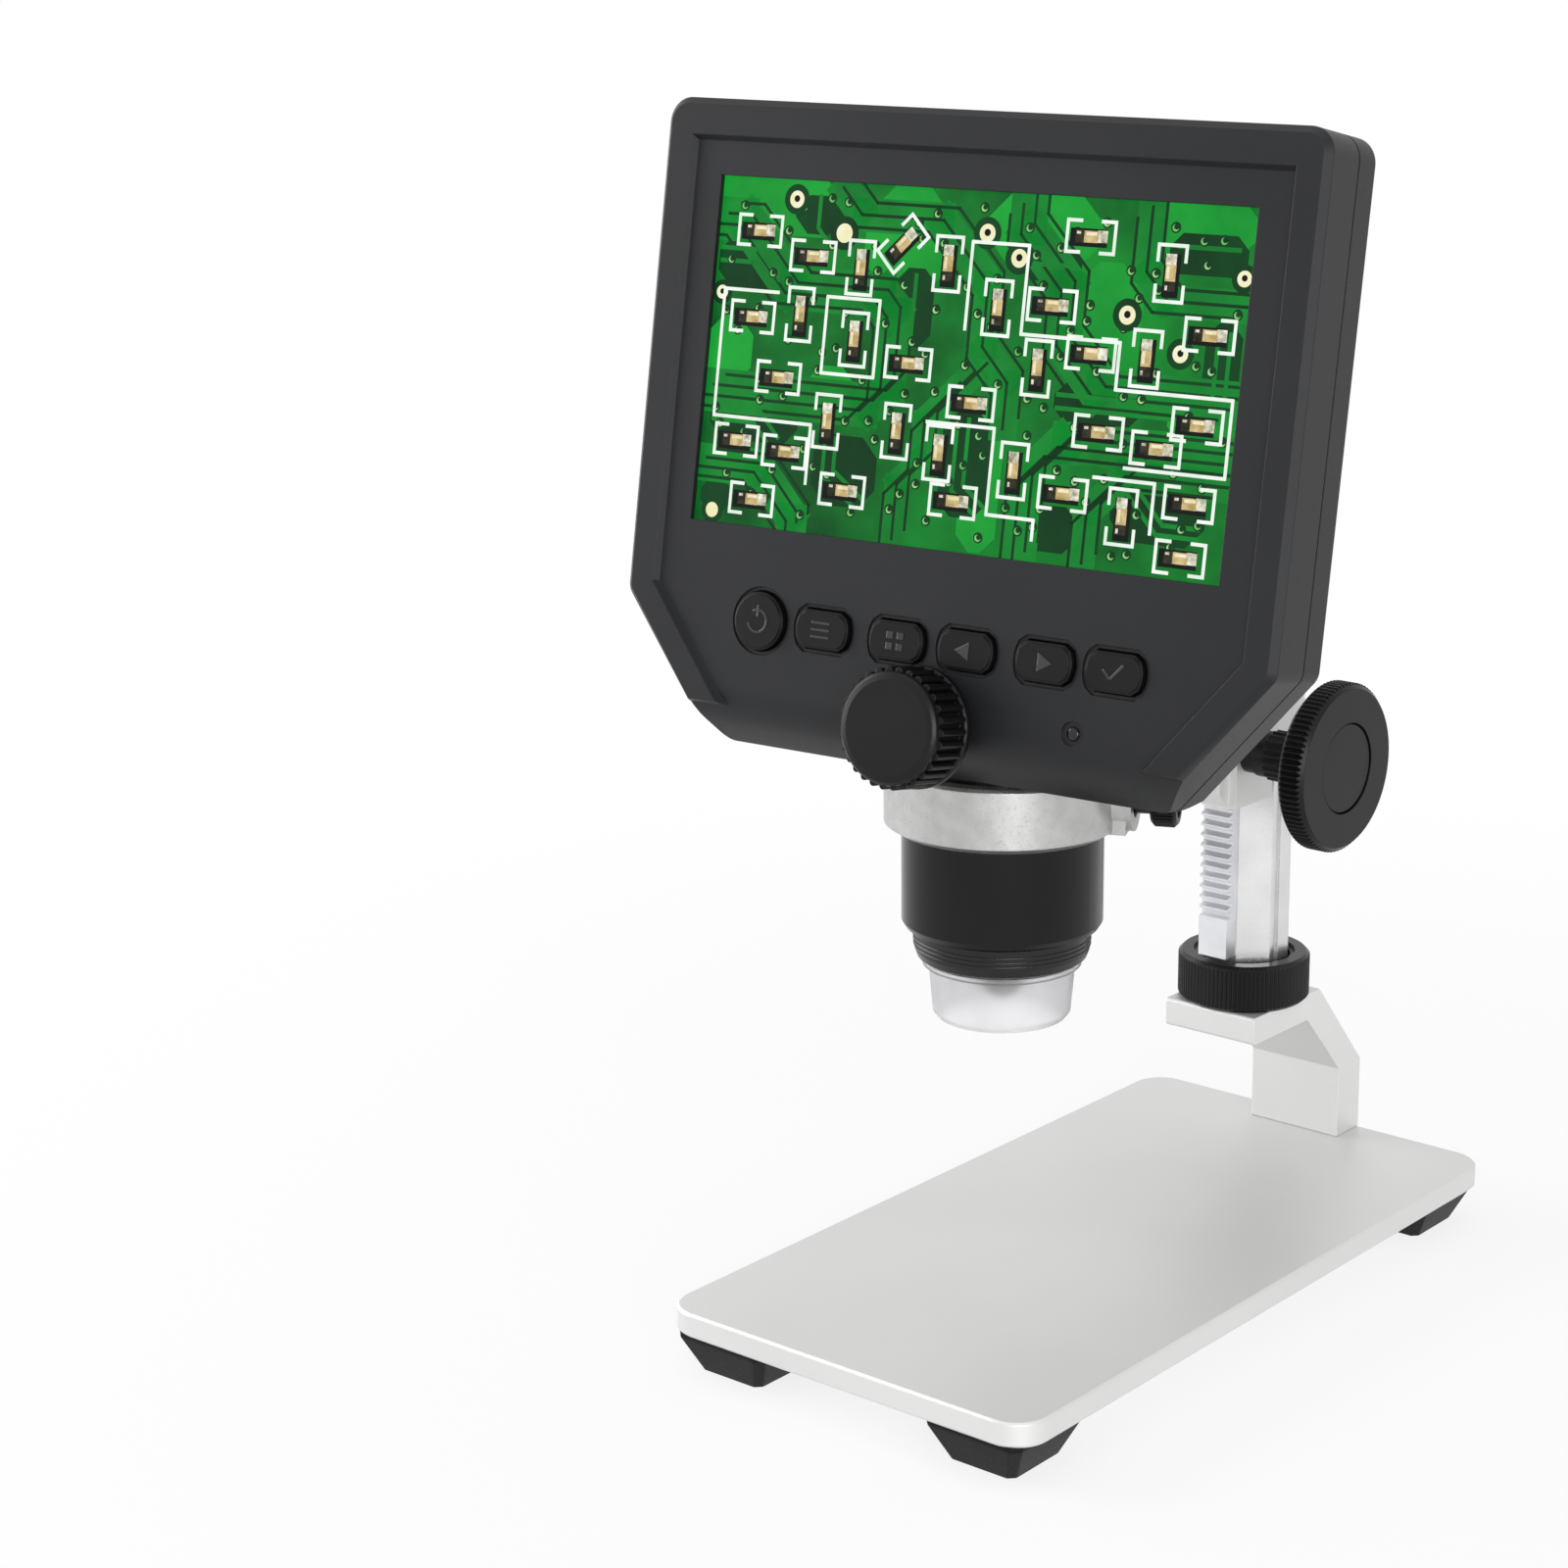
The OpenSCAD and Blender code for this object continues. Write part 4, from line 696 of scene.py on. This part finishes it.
# Broad tracks in parallel runs with 45 degree bends: course, number and pitch.
RUNS = [
    ([(-47.5, 20.5), (-43, 20.5), (-33, 10.5), (-16, 10.5), (-13.5, 8), (-13.5, -3),
      (-17, -6.5), (-47.5, -6.5)], 3, 2.3),
    ([(-25, 26.5), (-21, 22.5), (-6, 22.5), (3, 13.5), (3, 4), (8, -1), (8, -8)], 2, 2.6),
    ([(9, 26.5), (9, 22), (17, 14), (17, 6), (24, -1), (47.5, -1)], 3, 2.2),
    ([(30, 26.5), (30, 17), (34, 13), (47.5, 13)], 2, 2.4),
    ([(-47.5, -18), (-36, -18), (-29, -25), (-29, -26.5)], 3, 2.0),
    ([(-10, -26.5), (-10, -18), (-6, -14), (-6, -8), (2, 0)], 2, 2.2),
    ([(13, -26.5), (13, -15), (19, -9), (47.5, -9)], 3, 2.1),
    ([(24, -26.5), (24, -19), (30, -13), (47.5, -13)], 2, 2.3),
]


def beside(points, offset):
    """The course of a gap that runs beside the middle of its tracks."""
    return [(x + offset, y + offset * 0.75) for x, y in points]


beds = [(points, count * pitch) for points, count, pitch in RUNS]
gaps = [(beside(points, (k - count / 2) * pitch),)
        for points, count, pitch in RUNS for k in range(count + 1)]
drawing("picture_broad_tracks", lit_track, line, beds, z=-0.043)
drawing("picture_gaps", lit_gap, line, gaps, z=-0.04, w=0.5)

# Narrow tracks that cross the laminate.
TRACKS = [
    [(-47, 16), (-40, 16), (-35.5, 11.5)], [(-47, 14), (-41, 14), (-37.5, 10.5)],
    [(-29, 25), (-29, 20), (-26, 17)], [(-46, -9), (-37, -9), (-33, -13)],
    [(-46, -11), (-38, -11), (-35, -14)], [(-24, -12), (-24, -18), (-18, -22)],
    [(-22, -12), (-22, -17), (-16, -21)], [(0, -7), (0, -18), (4, -21)],
    [(2, -7), (2, -17), (6, -20)], [(30, -15), (36, -21), (43, -21)],
    [(32, -14.5), (37, -19.5), (43, -19.5)], [(17, -2), (31, -2)], [(17, -4), (31, -4)],
    [(43, 9), (43, -1)], [(45, 9), (45, -1)], [(35, 21), (45, 21)], [(10, 17), (18, 17)],
    [(-10, 14), (-10, 4)],
]
drawing("picture_tracks", lit_track, line, [(points,) for points in TRACKS], z=-0.037, w=0.7)


VIA_COLUMNS, VIA_ROWS = 17, 10
EDGE_X, EDGE_Y = 46.3, 25.8  # no via lies farther out than this


def via_places():
    """A loose grid of places, of which three in four are taken."""
    for i in range(VIA_COLUMNS):
        for j in range(VIA_ROWS):
            x = -44 + i * 5.5 + 1.7 * math.sin(2.1 * i + 1.7 * j)
            y = -23.5 + j * 5.2 + 1.5 * math.sin(1.3 * i - 2.4 * j)
            if (i * 5 + j * 3) % 4 and abs(x) < EDGE_X and abs(y) < EDGE_Y:
                yield x, y


# Vias: a dark ring, and a hole that leaves a crescent of light on its lower left edge.
VIAS = list(via_places())
lit_edges = [(x - 0.05, y - 0.05) for x, y in VIAS]
holes = [(x + 0.11, y + 0.11) for x, y in VIAS]
drawing("picture_via_rings", lit_gap, disc, VIAS, z=-0.034, r=0.85, sides=14)
drawing("picture_via_edges", lit_via, disc, lit_edges, z=-0.031, r=0.56, sides=12)
drawing("picture_via_holes", lit_hole_green, disc, holes, z=-0.028, r=0.44, sides=12)

# Tinned pads, each in a clear ring: place and radius. All but two of them are drilled.
PADS = [
    (-33.5, 24.2, 1.35), (-24, 19.5, 1.5), (2, 21, 1.4), (8, 17.6, 1.4), (27.5, 10.5, 1.4),
    (-46.3, 9, 1.1), (46.2, 17, 1.2), (-44.5, -25.4, 1.2), (37, 5.5, 1.3),
]
NOT_DRILLED = (PADS[1], PADS[7])
rings = [(x, y, r * 1.75) for x, y, r in PADS]
drills = [(x, y + 0.1, r * 0.4) for x, y, r in PADS if (x, y, r) not in NOT_DRILLED]
drawing("picture_clear_rings", lit_gap, disc, rings, z=-0.026, sides=24)
drawing("picture_pads", lit_pad, disc, PADS, z=-0.024, sides=24)
drawing("picture_pad_holes", lit_hole, disc, drills, z=-0.022, sides=16)

# Chip parts: place and turn of each.
CHIPS = [
    (-40, 19, 0), (-29.5, 15.6, 0), (-40, 5.5, 0), (-20.4, 14.4, 90), (-13, 18.5, 45),
    (-20.4, 3.4, 90), (-4.5, 16, 90), (5, 10, 90), (14.5, 11, 0), (20, 21.5, 0),
    (34, 17, 90), (41.5, 8.5, 0), (-31, 6.5, 90), (-10, 0.5, 0), (-34, -3.6, 0),
    (-24, -9.6, 90), (-41, -14, 0), (-31.5, -15, 0), (-20, -20, 0), (-11, -10, 90),
    (2, -4.6, 0), (13, 1.6, 90), (22, 4.4, 0), (31.4, 4.4, 90), (41, -4.6, 0),
    (24.6, -7, 0), (34.6, -8.6, 0), (10.6, -14, 90), (19.6, -16.6, 0), (30, -19, 90),
    (0.4, -19.6, 0), (-3, -12.6, 90), (41, -16, 0), (-37, -23, 0), (40.4, -24, 0),
]
PRINT_PEN = 0.54  # width of a printed line
BRACKET = [(4.1, 0, PRINT_PEN, 5.2), (2.85, -2.33, 2.5, PRINT_PEN), (2.85, 2.33, 2.5, PRINT_PEN)]
BRACKETS = [(side * x, y, w, h) for side in (-1, 1) for x, y, w, h in BRACKET]


def chips_of(name, material, bars, z):
    """One layer of a chip, modelled once, copied to every place and joined."""
    model = new_piece(name, material)
    for row in bars:
        bar(*row, z)
    bpy.ops.object.mode_set(mode="OBJECT")
    copies = []
    for x, y, turn in CHIPS:
        copy = model.copy()
        copy.data = model.data.copy()
        copy.data.transform(Matrix.Translation((x * MM, y * MM, 0))
                            @ Matrix.Rotation(math.radians(turn), 4, "Z"))
        bpy.context.scene.collection.objects.link(copy)
        copies.append(copy)
    bpy.data.objects.remove(model)
    only(copies[0])
    for copy in copies:
        copy.select_set(True)
    bpy.ops.object.join()
    copies[0].name = name
    settle(copies[0], "head", HEAD)


chips_of("picture_chip_prints", lit_print, BRACKETS, z=-0.02)
chips_of("picture_chip_shadows", lit_hole, [(-0.35, -0.15, 6.4, 2.7)], z=-0.016)
chips_of("picture_chip_sides", lit_dark_end, [(-1.9, 0, 1.5, 1.9)], z=-0.014)
chips_of("picture_chip_ends", lit_solder, [(2.0, 0.1, 1.7, 1.8), (-2.1, 0.55, 0.7, 0.4)],
         z=-0.012)
chips_of("picture_chip_bodies", lit_chip, [(0.05, 0, 2.4, 1.75)], z=-0.008)
chips_of("picture_chip_lights", lit_chip_top, [(0.15, 0.45, 1.9, 0.5)], z=-0.004)

# Printed frames that group the parts.
GROUPS = [
    [(-35.4, 9.6), (-45.8, 9.6), (-45.8, -10.4), (-27, -10.4), (-27, -19.6)],
    [(-26, 9.6), (-16.2, 9.6), (-16.2, -2.2), (-26, -2.2), (-26, 9.6)],
    [(-0.4, 6.4), (-0.4, 19.6), (9.6, 19.6), (9.6, 6.4), (26.8, 6.4), (26.8, -0.5), (36, -0.5)],
    [(36, -0.5), (46.4, -0.5), (46.4, -11.8), (29.6, -11.8)],
    [(-5.6, -8), (6.6, -8), (6.6, -21), (15, -21), (15, -24)],
    [(24.6, -13.6), (35, -13.6), (35, -21)],
]
drawing("picture_group_frames", lit_print, line, [(points,) for points in GROUPS],
        z=-0.021, w=PRINT_PEN)

# ---------------------------------------------------------------- signs on the keys
KEY_HEIGHT = -41.8  # the row of keys lies this far below the display's middle
KEY_TOP = 1.9
SIGN_DEPTH = 0.24  # half of it stands out of the key
SIGN_PEN = 0.42  # width of a stroke
SIGN_EDGE = 0.09  # how far its edges are broken


def raised_bar(x, y, w, h, turn=0.0):
    """A bar that stands out of the key."""
    bpy.ops.mesh.primitive_cube_add(size=MM)
    shape(w, h, SIGN_DEPTH, x, y, 0, turn)


def raised_arc(r, turn, sweep):
    """A small rectangle drawn round an arc, then turned to where the arc starts."""
    bpy.ops.mesh.primitive_plane_add(size=MM)
    bpy.ops.transform.resize(value=(SIGN_PEN, SIGN_DEPTH, 1), center_override=(0, 0, 0))
    bpy.ops.transform.rotate(
        value=math.radians(90), orient_axis="X", center_override=(0, 0, 0))
    bpy.ops.transform.translate(value=(r * MM, 0, 0))
    bpy.ops.mesh.spin(steps=28, angle=math.radians(sweep), center=(0, 0, 0), axis=(0, 0, 1))
    bpy.ops.mesh.select_all(action="SELECT")
    bpy.ops.mesh.remove_doubles(threshold=1e-6)
    bpy.ops.transform.rotate(
        value=-math.radians(turn), orient_axis="Z", center_override=(0, 0, 0))
    bpy.ops.mesh.normals_make_consistent(inside=False)


def power_sign():
    """A broken ring with a stroke."""
    raised_arc(1.75, 125, 290)
    raised_bar(0, 1.6, SIGN_PEN, 1.9)


def menu_sign():
    """Three lines."""
    for y in (-1.1, 0, 1.1):
        raised_bar(0, y, 3.4, SIGN_PEN)


def mode_sign():
    """Four squares."""
    for x in (-0.95, 0.95):
        for y in (-0.85, 0.85):
            raised_bar(x, y, 1.2, 1.1)


def arrow(turn):
    """A triangle."""
    bpy.ops.mesh.primitive_cylinder_add(
        vertices=3, radius=1.7 * MM, depth=SIGN_DEPTH * MM, location=(0, 0, 0),
        rotation=(0, 0, math.radians(turn)))


def ok_sign():
    """A tick."""
    raised_bar(-1.0, -0.35, 1.9, 0.45, -45)
    raised_bar(0.75, 0.15, 3.1, 0.45, 48)


KEYS = {  # place across the head, and sign
    "power_key": (-32.3, power_sign),
    "menu_key": (-20.2, menu_sign),
    "mode_key": (-6.3, mode_sign),
    "left_key": (6.3, lambda: arrow(90)),
    "right_key": (20.2, lambda: arrow(-90)),
    "ok_key": (32.3, ok_sign),
}
# Each sign is raised on its key in the lighter grey of its painted highlight.
for key, (x, draw_sign) in KEYS.items():
    sign = new_piece(key + "_sign", sign_highlight_abs)
    draw_sign()
    bpy.ops.object.mode_set(mode="OBJECT")
    edge = sign.modifiers.new("edge", "BEVEL")
    edge.width = SIGN_EDGE * MM
    edge.segments = 2
    bpy.ops.object.modifier_apply(modifier="edge")
    settle(sign, key, HEAD @ Matrix.Translation((x * MM, KEY_HEIGHT * MM, KEY_TOP * MM)))

# ---------------------------------------------------------------- camera
# From here on places and sizes are in metres.
CAMERA_PLACE = (0.30854949, -0.43265269, 0.22230614)
CAMERA_RIGHT = (0.79387039, 0.60805223, 0.00650375)
CAMERA_UP = (-0.15644858, 0.19389984, 0.96846616)
CAMERA_BACK = (0.58761693, -0.7698541, 0.24906025)
SENSOR = 36
WIDTH = 1600  # pixels along each side of the render
FOCAL = 3371.5586  # focal length in such pixels
AXIS = (1021.587, 760.928)  # where the lens's axis meets the render, from its upper left

camera_data = bpy.data.cameras.new("camera")
camera = bpy.data.objects.new("camera", camera_data)
bpy.context.scene.collection.objects.link(camera)
turned = Matrix((CAMERA_RIGHT, CAMERA_UP, CAMERA_BACK)).transposed().to_4x4()
camera.matrix_world = Matrix.Translation(CAMERA_PLACE) @ turned
camera_data.sensor_fit = "HORIZONTAL"
camera_data.sensor_width = SENSOR
camera_data.lens = FOCAL / WIDTH * SENSOR
camera_data.shift_x = (WIDTH / 2 - AXIS[0]) / WIDTH
camera_data.shift_y = (AXIS[1] - WIDTH / 2) / WIDTH
camera_data.clip_start = 0.01
camera_data.clip_end = 20
bpy.context.scene.camera = camera

# ---------------------------------------------------------------- floor
FLOOR_SIZE = 8
SHADED_REACH = 0.12  # up to this far from the origin the floor takes a shadow
WHITE_REACH = 0.38  # and from here on it is plain white
SHADED_SHARE = 0.8  # share of plain white that it keeps inside the first of them

bpy.ops.object.select_all(action="DESELECT")
bpy.ops.mesh.primitive_plane_add(size=FLOOR_SIZE, location=(0, 0, cad_box[0][2]))
floor = bpy.context.object
floor.name = "floor"

# Paper that lights the object as paper does, and that is seen and mirrored as white.
floor_paper, tree, output = blank("floor_paper")
rays = add(tree, "ShaderNodeLightPath")
paper = add(tree, "ShaderNodeBsdfDiffuse", {"Color": linear("#F4F4F4")})
glow = add(tree, "ShaderNodeEmission", {"Color": linear("#FFFFFF"), "Strength": 1.0})
spot = add(tree, "ShaderNodeTexCoord")
reach = add(tree, "ShaderNodeVectorMath", {0: (spot, "Object")}, operation="LENGTH")
share = add(tree, "ShaderNodeMapRange",
            {"Value": (reach, "Value"), "From Min": SHADED_REACH, "From Max": WHITE_REACH,
             "To Min": SHADED_SHARE, "To Max": 1.0},
            interpolation_type="SMOOTHSTEP")
seen = add(tree, "ShaderNodeMath",
           {0: (rays, "Is Camera Ray"), 1: (share, "Result")}, operation="MULTIPLY")
mirrored = add(tree, "ShaderNodeMath",
               {0: (rays, "Is Glossy Ray"), 1: (rays, "Is Transmission Ray")},
               operation="MAXIMUM")
whiteness = add(tree, "ShaderNodeMath",
                {0: (seen, "Value"), 1: (mirrored, "Value")}, operation="MAXIMUM")
blend = add(tree, "ShaderNodeMixShader",
            {0: (whiteness, "Value"), 1: (paper, "BSDF"), 2: (glow, "Emission")})
tree.links.new(blend.outputs["Shader"], output.inputs["Surface"])
dress(floor, floor_paper)

# ---------------------------------------------------------------- light
# A white room: full white where it is seen or mirrored, weaker as a light.
world = bpy.data.worlds.new("studio")
bpy.context.scene.world = world
world.use_nodes = True
tree = world.node_tree
tree.nodes.clear()
output = add(tree, "ShaderNodeOutputWorld")
rays = add(tree, "ShaderNodeLightPath")
soft = add(tree, "ShaderNodeBackground", {"Color": linear("#FFFFFF"), "Strength": 0.55})
white = add(tree, "ShaderNodeBackground", {"Color": linear("#FFFFFF"), "Strength": 1.0})
seen = add(tree, "ShaderNodeMath",
           {0: (rays, "Is Camera Ray"), 1: (rays, "Is Transmission Ray")},
           operation="MAXIMUM")
either = add(tree, "ShaderNodeMath",
             {0: (seen, "Value"), 1: (rays, "Is Glossy Ray")}, operation="MAXIMUM")
blend = add(tree, "ShaderNodeMixShader",
            {0: (either, "Value"), 1: (soft, "Background"), 2: (white, "Background")})
tree.links.new(blend.outputs["Shader"], output.inputs["Surface"])

SOFTBOX_SIZE = 0.8
SOFTBOXES = {  # place, the point it faces, watts
    "softbox_left": ((-1.05, -0.35, 0.35), (0, 0, 0.08), 10),
    "softbox_right": ((1.0, -0.9, 0.35), (0, 0, 0.08), 14),
    "softbox_top": ((0.0, 0.1, 1.1), (0, 0, 0.05), 1.2),
}
for name, (place, aim, watts) in SOFTBOXES.items():
    data = bpy.data.lights.new(name, "AREA")
    data.shape = "SQUARE"
    data.size = SOFTBOX_SIZE
    data.energy = watts
    lamp = bpy.data.objects.new(name, data)
    bpy.context.scene.collection.objects.link(lamp)
    lamp.location = place
    lamp.rotation_euler = (Vector(aim) - Vector(place)).to_track_quat("-Z", "Y").to_euler()

bpy.context.scene.view_settings.view_transform = "Standard"
